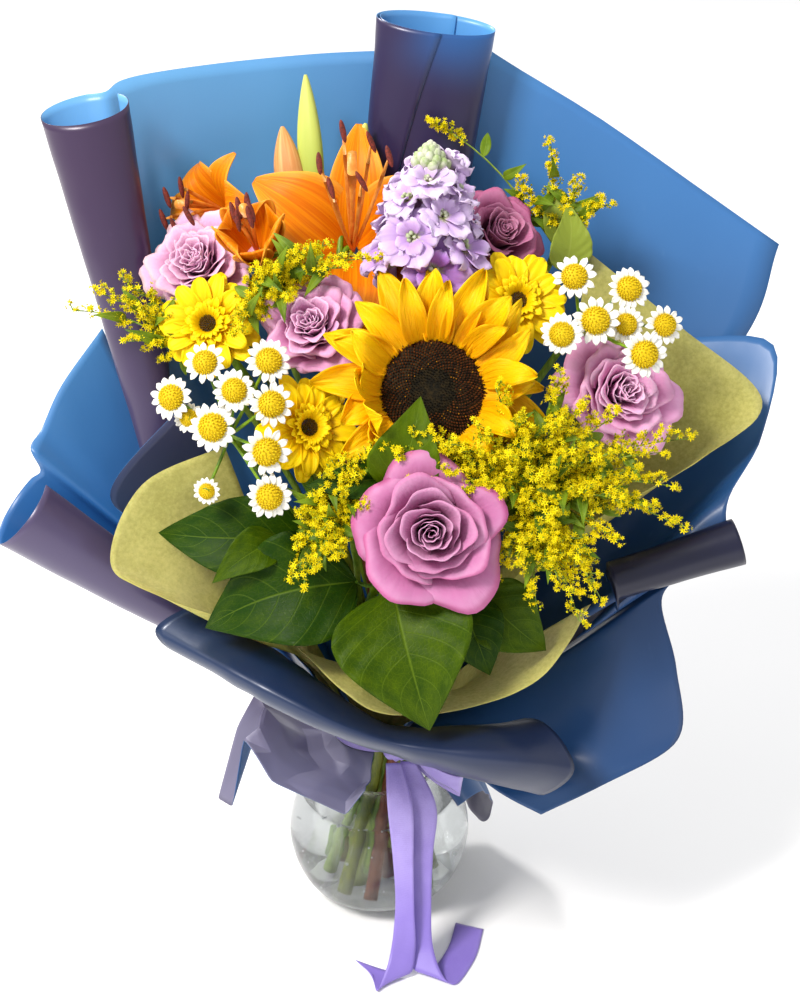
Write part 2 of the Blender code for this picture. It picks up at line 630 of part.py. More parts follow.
def make_film(film):
    roll = rolled_edge((-128, -12, 334), (-168, 46, 534), 60, 40, 160, 320, 0.45)
    sheet("film_back_left", [
        column(88, 4, (11, 68, 308), (20, 98, 429), (26, 118, 540)),
        column(107, 4, (-17, 64, 309), (-29, 96, 430), (-28, 116, 539)),
        column(126, 4, (-48, 54, 313), (-80, 86, 426), (-81, 106, 537)),
        column(142, 4, (-78, 34, 315), (-122, 70, 426), (-128, 86, 536)),
        column(148, 4, (-84, 22, 300), (-126, 50, 412), (-150, 74, 534), rise=OVER_BAND),
    ] + roll, film, FILM, along=4)
    roll = rolled_edge((18, 66, 428), (36, 86, 569), 68, 34, 160, 320, 0.85)
    sheet("film_back_right", roll[::-1] + [
        column(90, 3, (24, 54, 308), (40, 84, 429), (46, 102, 560), rise=OVER_BAND),
        column(80, 3, (48, 54, 308), (72, 82, 429), (78, 101, 538)),
        column(65, 3, (94, 48, 302), (128, 76, 410), (135, 98, 504)),
        column(42, 3, (120, 34, 292), (174, 60, 381), (198, 90, 462)),
        column(20, 3, (138, 18, 283), (224, 50, 376), (247, 76, 431)),
    ], film, FILM, along=4)
    roll = rolled_edge((138, -72, 279), (211, -62, 300), 30, 28, 215, 290, 0.85)
    sheet("film_right", [
        column(30, 2, (122, -8, 262), (166, 8, 342), (190, 36, 386)),
        column(8, 2, (130, -20, 252), (200, -8, 336), (238, 20, 388)),
        column(-12, 2, (130, -32, 243), (192, -34, 308), (228, -18, 345)),
        column(-28, 2, (122, -45, 233), (172, -56, 294), (206, -50, 322)),
        column(-35, 2, (112, -56, 222), (158, -68, 274), (206, -60, 302), rise=OVER_BAND),
    ] + roll, film, FILM, along=4)
    sheet("film_front_right", [
        column(-10, 3, (88, -24, 184), (146, -36, 250), (186, -38, 280)),
        column(-22, 3, (90, -40, 188), (144, -52, 244), (182, -52, 272)),
        column(-32, 3, (80, -48, 190), (132, -62, 232), (170, -58, 256)),
        column(-45, 3, (80, -60, 174), (132, -80, 204), (179, -76, 220)),
        column(-57, 3, (76, -70, 164), (130, -96, 174), (181, -87, 176)),
        column(-67, 3, (63, -75, 158), (102, -105, 160), (134, -111, 160)),
        column(-77, 3, (45, -75, 154), (74, -105, 150), (98, -117, 143)),
    ], film, FILM, finer=2)
    sheet("film_front_collar", [
        column(212, 2, (-58, -42, 204), (-98, -62, 254), (-128, -84, 254), (-118, -88, 240), (-99, -70, 232)),
        column(235, 2, (-30, -62, 190), (-46, -104, 240), (-62, -134, 246), (-50, -136, 228), (-36, -112, 214)),
        column(262, 2, (4, -66, 170), (4, -122, 212), (2, -154, 224), (12, -146, 206), (16, -122, 192)),
        column(285, 2, (34, -70, 166), (58, -126, 214), (72, -160, 216), (62, -152, 194), (56, -126, 180)),
        column(308, 2, (60, -70, 170), (94, -112, 208), (114, -142, 196), (98, -136, 172), (80, -112, 164)),
    ], film, FILM, finer=2, along=7)
    roll = rolled_edge((-80, -34, 204), (-206, -52, 316), 58, 58, 60, -290, 0.38)
    sheet("film_left", [
        column(160, 5, (-100, 4, 258), (-140, 28, 328), (-168, 46, 388)),
        column(171, 5, (-92, -8, 250), (-148, 4, 316), (-190, 16, 364)),
        column(182, 5, (-84, -22, 236), (-152, -22, 304), (-200, -8, 346)),
        column(187, 5, (-70, -26, 208), (-134, -36, 278), (-204, -26, 342), rise=OVER_BAND),
    ] + roll, film, FILM, along=4)
    sheet("film_inner_corner", [
        column(150, 2, (-62, -12, 240), (-84, -26, 304), (-110, -32, 376)),
        column(164, 2, (-66, -24, 230), (-102, -36, 286), (-156, -42, 322)),
        column(177, 2, (-62, -36, 220), (-94, -50, 264), (-130, -54, 300)),
    ], film, FILM, finer=2, along=4)
    low = -BAND_WIDTH / 2 - 2 * CLEAR
    sheet("film_skirt_left", [
        column(165, 5, (-44, 4, 126), (-86, -14, 160), (-106, -26, 88), rise=low),
        column(174, 5, (-44, -4, 125), (-78, -20, 152), (-94, -32, 84), rise=low),
        column(183, 5, (-43, -12, 124), (-68, -24, 144), (-84, -36, 150), rise=low),
        column(205, 5, (-40, -26, 122), (-62, -42, 134), (-78, -52, 140), rise=low),
        column(225, 5, (-34, -38, 121), (-52, -58, 124), (-62, -72, 116), rise=low),
        column(243, 5, (-22, -44, 119), (-34, -66, 114), (-40, -78, 98), rise=low),
        column(256, 5, (-10, -44, 119), (-18, -66, 112), (-26, -78, 100), rise=low),
    ], film, FILM, finer=2, along=4, gathered=False)
    sheet("film_skirt_right", [
        column(-50, 5, (32, -34, 119), (42, -48, 110), (50, -56, 103), rise=low),
        column(-15, 5, (42, -15, 118), (58, -19, 106), (68, -22, 90), rise=low),
        column(20, 5, (42, 13, 117), (66, 16, 84), (76, 12, 52), rise=low),
        column(50, 5, (34, 32, 116), (60, 38, 76), (68, 34, 24), rise=low),
        column(80, 5, (8, 42, 117), (24, 62, 84), (36, 66, 52), rise=low),
        column(115, 5, (-18, 40, 117), (-28, 58, 94), (-34, 64, 72), rise=low),
    ], film, FILM, along=4, gathered=False)


def make_tissue(paper):
    sheet("tissue_left", [
        column(160, 1, (-50, -28, 240), (-68, -56, 300), (-86, -62, 362)),
        column(185, 1, (-58, -38, 238), (-92, -62, 298), (-134, -66, 338)),
        column(205, 1, (-60, -48, 232), (-104, -76, 276), (-152, -84, 298)),
        column(222, 1, (-54, -58, 226), (-92, -94, 264), (-124, -106, 290)),
        column(236, 1, (-42, -64, 216), (-66, -98, 252), (-84, -107, 274)),
    ], paper, PAPER)
    sheet("tissue_front", [
        column(232, 0, (-22, -62, 200), (-30, -96, 238), (-44, -114, 258)),
        column(252, 0, (-4, -68, 190), (-2, -106, 232), (-10, -134, 262)),
        column(268, 0, (8, -70, 184), (8, -110, 222), (6, -138, 240)),
        column(285, 0, (24, -70, 184), (34, -112, 222), (50, -138, 242)),
        column(302, 0, (42, -66, 192), (60, -100, 226), (92, -124, 252)),
        column(318, 0, (52, -54, 206), (82, -82, 240), (124, -96, 276)),
    ], paper, PAPER)
    sheet("tissue_right", [
        column(35, 1, (86, 2, 262), (108, 0, 350), (126, 26, 444)),
        column(18, 1, (94, -8, 258), (136, -12, 330), (180, 10, 404)),
        column(0, 1, (96, -20, 252), (154, -32, 314), (226, -20, 370)),
        column(-14, 1, (88, -30, 250), (136, -48, 306), (186, -48, 344)),
        column(-26, 1, (72, -38, 244), (106, -56, 294), (148, -68, 330)),
    ], paper, PAPER)


# Ribbon: the band round the tie, its loop and its two tails

def strip(name, places, material, along):
    """A ribbon strip through pairs of (middle, half width) vectors."""
    middles = [mm(*middle) for middle, _ in places]
    halves = [mm(*half) for _, half in places]

    def surface(s, t):
        return spline(middles, t) + spline(halves, t) * s

    return add(name, blade(surface, 1, along, RIBBON), material)


def make_ribbon(satin):
    low, high = TIE.z - BAND_WIDTH / 2, TIE.z + BAND_WIDTH / 2
    shape = bmesh.new()
    radii = (BAND_RADIUS, BAND_RADIUS + BAND_THICKNESS)
    corners = [(radii[0], low), (radii[1], low), (radii[1], high), (radii[0], high)]
    points = [shape.verts.new((r, 0, z)) for r, z in corners]
    edges = [shape.edges.new(pair) for pair in zip(points, points[1:] + points[:1])]
    bmesh.ops.spin(
        shape, geom=points + edges, axis=(0, 0, 1), cent=(0, 0, 0), angle=math.tau, steps=24, use_merge=True
    )
    ring = to_mesh(shape, Matrix.Translation((TIE.x, TIE.y, 0)))
    knot = [(0, -0.007), (0.006, -0.0055), (0.0085, -0.001), (0.006, 0.0035), (0, 0.0042)]
    lump = turned(knot, 8, Matrix.Translation(mm(12, -38.5, 134.5)))
    fuse("ribbon_band", [ring, lump], satin)
    strip("ribbon_loop", [
        ((20.5, -41, 136), (0, -1, 3)), ((34, -56, 130), (1, -5, 7)), ((50, -60, 124), (2, -5, 9)),
        ((52, -52, 121), (1, 5, 9)), ((38, -46, 122), (0, 3, 7)), ((24, -40, 126), (0, 2, 3)),
    ], satin, 10)
    strip("ribbon_tail_left", [
        ((10, -45.6, 129.3), (-5, 0, 0)), ((14, -62, 108), (-8, 1, 0)), ((16, -76, 76), (-6.5, 1, 0)),
        ((17, -84, 45), (-6, 2, 0)), ((16, -93, 17), (-8, -1, 0)), ((11, -104, 4), (-9, -5, 0.4)),
        ((1, -103, 2), (-2, -10, 0)), ((-9, -92, 2.5), (6, -7, 0)),
    ], satin, 14)
    strip("ribbon_tail_right", [
        ((19, -42, 128), (5, 0, 0)), ((29, -56, 104), (8, -1, 0)), ((28, -68, 76), (7, -1, 0)),
        ((27, -77, 45), (7, -1, 0)), ((26, -87, 17), (9, -1, 0)), ((33, -100, 4), (9, -3, 0)),
        ((43, -98, 1.2), (8, -7, 0)), ((54, -76, 1.0), (9, -4, 0)), ((60, -50, 1.0), (9, -3, 0)),
    ], satin, 16)


def main():
    for thing in bpy.data.objects[:]:
        bpy.data.objects.remove(thing)

    glass = finish("vase glass", (0.80, 0.86, 0.88), 0.03, 0.35)
    water = finish("water", (0.72, 0.80, 0.84), 0.02, 0.40)
    film = finish("blue and purple film", (0.05, 0.20, 0.52), 0.35)
    tissue = finish("tissue paper", (0.72, 0.74, 0.36), 0.85)
    satin = finish("lavender satin", (0.42, 0.33, 0.82), 0.40)
    gold = finish("sunflower petal", (0.95, 0.50, 0.02), 0.55)
    seeds = finish("seed disc", (0.06, 0.025, 0.01), 0.80)
    lavender = finish("lavender rose", (0.62, 0.33, 0.58), 0.55)
    yellow = finish("gerbera yellow", (0.95, 0.72, 0.02), 0.55)
    orange = finish("lily orange", (0.90, 0.30, 0.04), 0.45)
    lilac = finish("stock lilac", (0.55, 0.40, 0.78), 0.60)
    white = finish("daisy white", (0.90, 0.90, 0.82), 0.60)
    mustard = finish("goldenrod yellow", (0.78, 0.66, 0.03), 0.75)
    green = finish("stem green", (0.20, 0.38, 0.06), 0.55)
    leaf_green = finish("leaf green", (0.06, 0.18, 0.02), 0.40)

    flowers = {
        "sunflower": (face(18, 60, 90), facing(0.02, 0.05), 0.0042, 0.016),
        "rose_front": (face(17, -16, 96), facing(0.0, -0.05), 0.0032, 0.018),
        "rose_left": (face(-49, 98, 58), facing(-0.12, 0.16), 0.0030, 0.022),
        "rose_right": (face(121, 62, 52), facing(0.22, 0.0), 0.0030, 0.020),
        "rose_upper_left": (face(-113, 138, 28), facing(-0.20, 0.25), 0.0030, 0.024),
        "rose_upper_right": (face(54, 156, 26), facing(0.10, 0.45), 0.0030, 0.020),
        "gerbera_left": (face(-108, 99, 65), facing(-0.15, 0.15), 0.0026, 0.026),
        "gerbera_low": (face(-53, 40, 84), facing(0.50, 0.10), 0.0026, 0.022),
        "gerbera_right": (face(66, 112, 66), facing(0.15, 0.15), 0.0026, 0.030),
        "lily": (face(-36, 140, 22), facing(-0.10, 0.35), 0.0040, 0.018),
        "stock": (face(14, 126, 64), facing(0.1, 2.4), 0.0046, 0.050),
    }
    placed = {name: aim(place, direction) for name, (place, direction, _, _) in flowers.items()}
    back = {
        "sunflower": 0.009, "lily": 0.016,
        "gerbera_left": 0.003, "gerbera_low": 0.003, "gerbera_right": 0.003,
    }
    stems = {}
    for name, (place, direction, radius, foot) in flowers.items():
        end = place - direction * (back.get(name, 0.0) + CLEAR)
        stems[name] = Stem(name + "_stem", end, direction, radius, foot)
    sprays = [
        ("daisies_left", (-95, 36, 86), (-0.1, 0.1), 0.0022, 0.040),
        ("daisies_right", (101, 98, 80), (0.2, 0.2), 0.0022, 0.045),
        ("goldenrod_left", (-116, 80, 46), (-0.6, 0.2), 0.0020, 0.035),
        ("goldenrod_upper", (-76, 113, 64), (-0.2, 0.6), 0.0020, 0.040),
        ("goldenrod_upper_right", (92, 150, 18), (0.2, 0.8), 0.0020, 0.032),
        ("goldenrod_right", (72, -4, 86), (0.5, 0.1), 0.0026, 0.024),
        ("goldenrod_front_left", (-34, -8, 84), (-0.3, -0.2), 0.0020, 0.030),
        ("leaves_left", (-52, -24, 62), (-0.8, 0.0), 0.0024, 0.030),
        ("leaves_front", (-10, -46, 62), (-0.1, -0.6), 0.0026, 0.020),
        ("leaves_front_right", (34, -52, 62), (0.4, -0.6), 0.0024, 0.026),
    ]
    for name, place, lean, radius, foot in sprays:
        stems[name] = Stem(name, face(*place), facing(*lean), radius, foot)
    gather(list(stems.values()))

    make_vase(glass)
    make_water(water, stems.values())
    make_film(film)
    make_tissue(tissue)
    make_ribbon(satin)

    sunflower(placed["sunflower"], gold, seeds)
    rose("rose_front", placed["rose_front"], 1.0, 9, lavender)
    smaller = (("left", 0.68, 6), ("right", 0.82, 6), ("upper_left", 0.70, 5), ("upper_right", 0.64, 5))
    for name, size, petals in smaller:
        rose("rose_" + name, placed["rose_" + name], size, petals, lavender)
    for name in ("left", "low", "right"):
        gerbera("gerbera_" + name, placed["gerbera_" + name], yellow)
    for name in flowers:
        if name not in ("lily", "stock"):
            plain_stem(stems[name], green, 1.5)

    # Lily: one stem with two open blooms, a half-open one and three buds
    blooms = [
        ("lily_bloom_main", face(-26, 148, 16), facing(0.05, 0.15), 0.072, 0.62, True, 0.75),
        ("lily_bloom_left", face(-109, 182, 4), facing(-0.20, 0.20), 0.045, 0.50, False, 0.5),
        ("lily_bloom_half_open", face(-77, 152, 50), facing(-0.20, 0.05), 0.036, 0.36, False, 0.0),
    ]
    fork = stems["lily"]
    pieces = [tube(fork.route(), [fork.radius] * STEM_POINTS)]
    for name, place, direction, length, flare, with_stamens, turn in blooms:
        lily(name, aim(place, direction), length, flare, orange, with_stamens, turn)
        under = place - direction * (0.0027 + CLEAR)
        pieces.append(branch(fork.end - fork.direction * 0.004, under, -direction * 0.006, 0.0018))
    for base, tip, fat in (
        ((-62, 172, 12), (-70, 222, 14), 0.0085), ((-50, 170, 10), (-56, 252, 18), 0.0075),
        ((-34, 180, 12), (-20, 222, 24), 0.0070),
    ):
        base, tip = face(*base), face(*tip)
        pieces.append(branch(fork.end - fork.direction * 0.004, base, FACE_OUT * 0.002, 0.0016, 3))
        points = [base.lerp(tip, t) for t in (-0.04, 0.12, 0.45, 0.8, 1.0)]
        pieces.append(tube(points, [0.0016, fat * 0.6, fat, fat * 0.75, 0.0015], 6))
    fuse("lily_stem", pieces, green)

    stock(placed["stock"], lilac)
    plain_stem(stems["stock"], green, 1.1)

    daisies(stems["daisies_left"], (-92, 45), [
        (-127, 57, 88), (-108, 76, 92), (-103, 40, 100), (-91, 60, 102), (-72, 76, 104), (-70, 52, 112),
        (-72, 26, 120), (-71, 2, 114), (-107, 5, 92),
    ], white)
    daisies(stems["daisies_right"], (112, 100), [
        (97, 124, 88), (108, 99, 96), (128, 118, 82), (134, 80, 102), (89, 91, 101), (148, 98, 80),
    ], white)

    goldenrod(stems["goldenrod_left"], [
        (-186, 108, 64, 0.75), (-158, 126, 62, 0.7), (-154, 90, 68, 0.7),
    ], mustard, 1)
    goldenrod(stems["goldenrod_upper"], [
        (-88, 110, 88, 0.6), (-66, 128, 94, 0.6), (-40, 141, 98, 0.7), (-14, 134, 92, 0.7),
    ], mustard, 2)
    goldenrod(stems["goldenrod_upper_right"], [
        (88, 208, 36, 0.8), (122, 172, 40, 0.7), (70, 186, 34, 0.6), (18, 221, 36, 0.3),
    ], mustard, 7, leaf=(face(96, 134, 30), face(98, 172, 38), 0.026, facing(0.3, 0.1), 0.003))
    goldenrod(stems["goldenrod_right"], [
        (160, 34, 92, 0.7), (156, -14, 94, 0.75), (98, -66, 106, 0.75), (84, 42, 116, 0.6),
        (118, 46, 108, 0.7), (128, 14, 106, 0.75), (118, -22, 108, 0.75),
        (80, -8, 120, 0.7), (84, -38, 112, 0.7),
    ], mustard, 4, 0.0058)
    goldenrod(stems["goldenrod_front_left"], [
        (-52, -44, 112, 0.8), (-40, -14, 116, 0.7), (-24, 14, 112, 0.7), (-56, -24, 106, 0.7),
    ], mustard, 5)

    leafy(stems["leaves_left"], [
        (face(-56, -20, 66), face(-140, -18, 58), 0.048, facing(0.1, 0.1), 0.004),
        (face(-68, -22, 74), face(-104, -45, 90), 0.026, facing(-0.3, 0.0), 0.002),
    ], leaf_green)
    leafy(stems["leaves_front"], [
        (face(-24, -46, 76), face(-108, -76, 70), 0.052, facing(-0.1, 0.1), 0.005),
        (face(-4, -52, 82), face(17, -126, 80), 0.066, facing(0.0, -0.1), 0.006),
        (face(-5, 6, 104), face(11, 55, 118), 0.036, facing(0.0, -0.1), 0.003),
    ], leaf_green)
    leafy(stems["leaves_front_right"], [
        (face(34, -56, 76), face(51, -99, 76), 0.038, facing(0.1, -0.1), 0.004),
        (face(44, -50, 72), face(84, -86, 66), 0.036, facing(0.2, -0.1), 0.004),
    ], leaf_green)


main()
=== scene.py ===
"""A hand-tied bouquet of garden flowers, wrapped in two-sided film and standing in a glass bowl vase."""

import math
import random

import bmesh
import bpy
import numpy as np
from mathutils import Matrix, Vector, noise


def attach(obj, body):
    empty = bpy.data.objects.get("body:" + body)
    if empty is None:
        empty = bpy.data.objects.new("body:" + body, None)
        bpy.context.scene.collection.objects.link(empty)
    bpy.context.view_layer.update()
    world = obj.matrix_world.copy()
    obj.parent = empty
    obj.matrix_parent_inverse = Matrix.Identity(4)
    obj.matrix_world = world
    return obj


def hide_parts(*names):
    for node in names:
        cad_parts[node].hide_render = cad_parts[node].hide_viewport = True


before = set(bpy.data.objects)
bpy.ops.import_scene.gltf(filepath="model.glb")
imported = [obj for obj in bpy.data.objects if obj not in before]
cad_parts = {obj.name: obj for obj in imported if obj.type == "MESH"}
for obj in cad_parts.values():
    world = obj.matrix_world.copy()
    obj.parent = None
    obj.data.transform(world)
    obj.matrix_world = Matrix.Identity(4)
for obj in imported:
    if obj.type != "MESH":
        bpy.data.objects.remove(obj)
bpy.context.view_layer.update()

# The studio: a seamless pale floor, a soft key light high at the left in front of the bouquet, a smaller lamp high
# behind its left side, which throws the shadow forward to the right, and a white room that fills the shadows.

LOOK_AT = Vector((0.014, -0.020, 0.304))
EYE_DISTANCE = 1.17
EYE_TILT = math.radians(28)
FACE_OUT = Vector((0, -math.cos(EYE_TILT), math.sin(EYE_TILT)))
FACE_UP = Vector((0, math.sin(EYE_TILT), math.cos(EYE_TILT)))
RIGHT = Vector((1, 0, 0))
MM = 0.001


class Wire:
    """A socket of a material's nodes. Arithmetic on it adds Math nodes, and node() adds any other."""

    def __init__(self, tree, socket=None):
        self.tree = tree
        self.socket = socket

    def plug(self, target, value):
        if isinstance(value, Wire):
            self.tree.links.new(value.socket, target)
        else:
            target.default_value = value

    def node(self, kind, sockets, output=0, stops=(), **settings):
        made = self.tree.nodes.new("ShaderNode" + kind)
        for setting, value in settings.items():
            setattr(made, setting, value)
        for i, (position, colour) in enumerate(stops):
            ramp = made.color_ramp.elements
            stop = ramp[i] if i < 2 else ramp.new(position)
            stop.position = position
            stop.color = (*colour, 1.0)
        for socket, value in sockets.items():
            self.plug(made.inputs[socket], value)
        return Wire(self.tree, made.outputs[output])

    def maths(self, operation, *values):
        return self.node("Math", dict(enumerate(values)), operation=operation)

    def __add__(self, other):
        return self.maths("ADD", self, other)

    def __sub__(self, other):
        return self.maths("SUBTRACT", self, other)

    def __mul__(self, other):
        return self.maths("MULTIPLY", self, other)

    def __pow__(self, other):
        return self.maths("POWER", self, other)

    def __rsub__(self, other):
        return self.maths("SUBTRACT", other, self)

    __radd__ = __add__
    __rmul__ = __mul__

    def clear(self, low=0.0, high=1.0):
        """This value stretched so that low becomes 0 and high becomes 1, and held there."""
        return self.node("MapRange", {0: self, 1: low, 2: high}, interpolation_type="SMOOTHSTEP")

    def tint(self, dark, light):
        """The colour between dark and light that this value, from 0 to 1, picks."""
        ends = {6: (*dark, 1.0) if isinstance(dark, tuple) else dark}
        ends[7] = (*light, 1.0) if isinstance(light, tuple) else light
        return self.node("Mix", {0: self, **ends}, output=2, data_type="RGBA")

    def grain(self, scale, detail=3.0, stretch=(1, 1, 1), rough=0.55):
        """Noise on this vector, drawn out along the axes with a small stretch."""
        drawn = self.node("Mapping", {"Vector": self, "Scale": stretch})
        return self.node("TexNoise", {"Vector": drawn, "Scale": scale, "Detail": detail, "Roughness": rough})


def finish(name, **constants):
    """A material, the wire to build its nodes with, and its shader with these constants set."""
    material = bpy.data.materials.new(name)
    material.use_nodes = True
    tree = material.node_tree
    shader = tree.nodes["Principled BSDF"].inputs
    for socket, value in constants.items():
        shader[socket.replace("_", " ")].default_value = value
    return material, Wire(tree), shader


def relief(wire, shader, height, depth, distance=0.001):
    wire.plug(shader["Normal"], wire.node("Bump", {"Height": height, "Strength": depth, "Distance": distance}))


def link(thing):
    bpy.context.scene.collection.objects.link(thing)
    return thing


floor_mesh = bpy.data.meshes.new("studio floor")
floor_shape = bmesh.new()
bmesh.ops.create_grid(floor_shape, x_segments=2, y_segments=2, size=14)
floor_shape.to_mesh(floor_mesh)
floor_shape.free()
paper_white, wire, shader = finish("studio floor", Roughness=0.9)
speckle = wire.node("TexCoord", {}, output=3).grain(3.0)
wire.plug(shader["Base Color"], speckle.tint((0.90, 0.90, 0.90), (0.93, 0.93, 0.935)))
floor_mesh.materials.append(paper_white)
link(bpy.data.objects.new("studio_floor", floor_mesh))

room = bpy.data.worlds.new("white room")
room.use_nodes = True
room.node_tree.nodes["Background"].inputs["Color"].default_value = (0.97, 0.98, 1.0, 1.0)
room.node_tree.nodes["Background"].inputs["Strength"].default_value = 0.74
bpy.context.scene.world = room
bpy.context.scene.view_settings.view_transform = "Standard"


def lamp(name, place, size, power, colour):
    light = bpy.data.lights.new(name, "AREA")
    light.size = size
    light.energy = power
    light.color = colour
    made = link(bpy.data.objects.new(name, light))
    made.location = place
    made.rotation_euler = (LOOK_AT - Vector(place)).to_track_quat("-Z", "Y").to_euler()


lamp("key", (-1.5, -1.5, 2.7), 0.8, 112, (1.0, 0.965, 0.92))
lamp("window", (-1.5, 1.3, 2.3), 0.35, 48, (1.0, 0.98, 0.95))

eye = link(bpy.data.objects.new("eye", bpy.data.cameras.new("eye")))
eye.data.lens = 70
eye.data.sensor_width = 36
eye.location = LOOK_AT + FACE_OUT * EYE_DISTANCE
eye.rotation_euler = (math.pi / 2 - EYE_TILT, 0, 0)
bpy.context.scene.camera = eye


# The vase: a small blown bowl of clear glass, thicker at its flat foot, with a soft rolled lip. It stands on the
# floor and everything else stands in it.

VASE_RADIUS, VASE_FOOT, VASE_MOUTH = 0.060, 0.032, 0.038
VASE_HEIGHT, VASE_BELLY, VASE_SHOULDER = 0.100, 0.047, 0.0515
VASE_WALL, VASE_FLOOR = 0.0028, 0.008


def spline(points, t):
    """The point at t, from 0 to 1, on a smooth curve through all the points."""
    spans = len(points) - 1
    at = min(max(t, 0.0) * spans, spans - 1e-6)
    i = int(at)
    f = at - i
    p, q = points[i], points[i + 1]
    before = points[i - 1] if i else p * 2 - q
    after = points[i + 2] if i + 2 <= spans else q * 2 - p
    return 0.5 * (
        p * 2 + (q - before) * f + (before * 2 - p * 5 + q * 4 - after) * f ** 2
        + (p * 3 - before - q * 3 + after) * f ** 3
    )


def turned(profile, sides):
    """A closed body turned about Z from its (radius, height) profile."""
    shape = bmesh.new()
    points = [shape.verts.new((radius, 0, height)) for radius, height in profile]
    edges = [shape.edges.new(pair) for pair in zip(points, points[1:])]
    bmesh.ops.spin(
        shape, geom=points + edges, axis=(0, 0, 1), cent=(0, 0, 0), angle=math.tau, steps=sides, use_merge=True
    )
    bmesh.ops.remove_doubles(shape, verts=shape.verts[:], dist=1e-6)
    bmesh.ops.recalc_face_normals(shape, faces=shape.faces[:])
    return shape


def piece(name, shape, finishes, slot, *nodes, thick=0.0, rounds=0):
    """Makes a shape a finished piece that stands for its solids. An open sheet gets a thickness, and its back
    takes the second finish, if there is one."""
    mesh = bpy.data.meshes.new(name)
    shape.to_mesh(mesh)
    shape.free()
    for material in finishes:
        mesh.materials.append(material)
    mesh.shade_smooth()
    made = link(bpy.data.objects.new(name, mesh))
    if rounds:
        rounder = made.modifiers.new("round", "SUBSURF")
        rounder.levels = rounds
        rounder.render_levels = rounds
    if thick:
        wall = made.modifiers.new("thickness", "SOLIDIFY")
        wall.thickness = thick
        wall.offset = 0
        wall.material_offset = len(finishes) - 1
    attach(made, "root")
    if nodes:
        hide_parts(*nodes)
    return made


VASE_OUTLINE = [Vector(p) for p in (
    (VASE_FOOT, 0), (VASE_SHOULDER, 0.016), (VASE_RADIUS, VASE_BELLY), (VASE_SHOULDER, 0.079),
    (VASE_MOUTH - 0.001, 0.094), (VASE_MOUTH + 0.001, VASE_HEIGHT),
)]
bowl = [spline(VASE_OUTLINE, i / 40) for i in range(1, 40)]
hollow = [p - Vector((VASE_WALL, 0)) for p in bowl if p.y > VASE_FLOOR + 0.003]
vase_profile = [(0, 0.0012), (0.012, 0.0010), (VASE_FOOT - 0.006, 0), (VASE_FOOT - 0.001, 0)]
vase_profile += [tuple(p) for p in bowl]
vase_profile += [
    (VASE_MOUTH + 0.0012, VASE_HEIGHT - 0.0006), (VASE_MOUTH + 0.0004, VASE_HEIGHT),
    (VASE_MOUTH - 0.0014, VASE_HEIGHT), (VASE_MOUTH - 0.0022, VASE_HEIGHT - 0.0008),
]
vase_profile += [tuple(p) for p in hollow[::-1]]
vase_profile += [(hollow[0].x - 0.004, VASE_FLOOR + 0.0010), (hollow[0].x - 0.012, VASE_FLOOR), (0, VASE_FLOOR)]

glass, wire, shader = finish("blown glass", IOR=1.36, Transmission_Weight=1.0, Alpha=0.86)
smear = wire.node("TexCoord", {}, output=3).grain(22.0, 4.0)
wire.plug(shader["Base Color"], smear.tint((0.95, 0.965, 0.975), (0.985, 0.99, 0.995)))
wire.plug(shader["Roughness"], smear.clear(0.45, 0.75) * 0.03)
piece("glass_bowl", turned(vase_profile, 96), [glass], "vase_glass", "vase_glass")


# The water: clear, up to where the bowl draws in, creeping up the glass, with air bubbles clinging to the glass.

WATER_LEVEL = 0.0775

wet = [p + Vector((0.0001, 0)) for p in hollow if p.y < WATER_LEVEL]
water_profile = [(0, VASE_FLOOR - 0.0001), (hollow[0].x - 0.012, VASE_FLOOR - 0.0001)]
water_profile += [tuple(p) for p in wet]
edge = wet[-1].x
water_profile += [(edge - 0.0002, WATER_LEVEL + 0.0012), (edge - 0.0016, WATER_LEVEL + 0.0003)]
water_profile += [(edge - 0.004, WATER_LEVEL), (0, WATER_LEVEL)]
clear_water, wire, shader = finish("clear water", IOR=1.333, Transmission_Weight=1.0, Roughness=0.0, Alpha=0.9)
murk = wire.node("TexCoord", {}, output=3).grain(30.0)
wire.plug(shader["Base Color"], murk.tint((0.86, 0.89, 0.88), (0.93, 0.95, 0.94)))
piece("still_water", turned(water_profile, 96), [clear_water], "water", "vase_water")

rng = random.Random(5)
bubbles = bmesh.new()
for i in range(90):
    around = rng.uniform(0, math.tau)
    high = rng.choice((WATER_LEVEL - 0.0006, rng.uniform(0.014, 0.07)))
    reach = min((p for p in wet), key=lambda p: abs(p.y - high)).x - rng.uniform(0.001, 0.003)
    size = rng.uniform(0.0004, 0.0013)
    bmesh.ops.create_icosphere(
        bubbles, subdivisions=2, radius=size,
        matrix=Matrix.Translation((reach * math.cos(around), reach * math.sin(around), high)),
    )
air, wire, shader = finish("air bubble", IOR=1.0, Transmission_Weight=0.4, Roughness=0.02, Metallic=0.0)
wire.plug(shader["Base Color"], wire.node("TexCoord", {}, output=3).grain(90.0).tint((0.86, 0.9, 0.93), (1, 1, 1)))
piece("air_bubbles", bubbles, [air], "water")


# The stems: cut flower stalks, gathered in a spiral at the tie and splayed below it in the water. Each keeps its
# own colour: green and ribbed, reddish and knotted, or pale with the scars of stripped leaves.

TIE_HEIGHT = 0.135


def face(across, up, out):
    """A place on the bouquet's face, in millimetres: across to the right, up the face and out of it."""
    return LOOK_AT + (RIGHT * across + FACE_UP * up + FACE_OUT * out) * MM


def facing(right=0.0, up=0.0):
    """The direction of a flower that looks out of the face, leant to the right and up by these slopes."""
    return (FACE_OUT + RIGHT * right + FACE_UP * up).normalized()


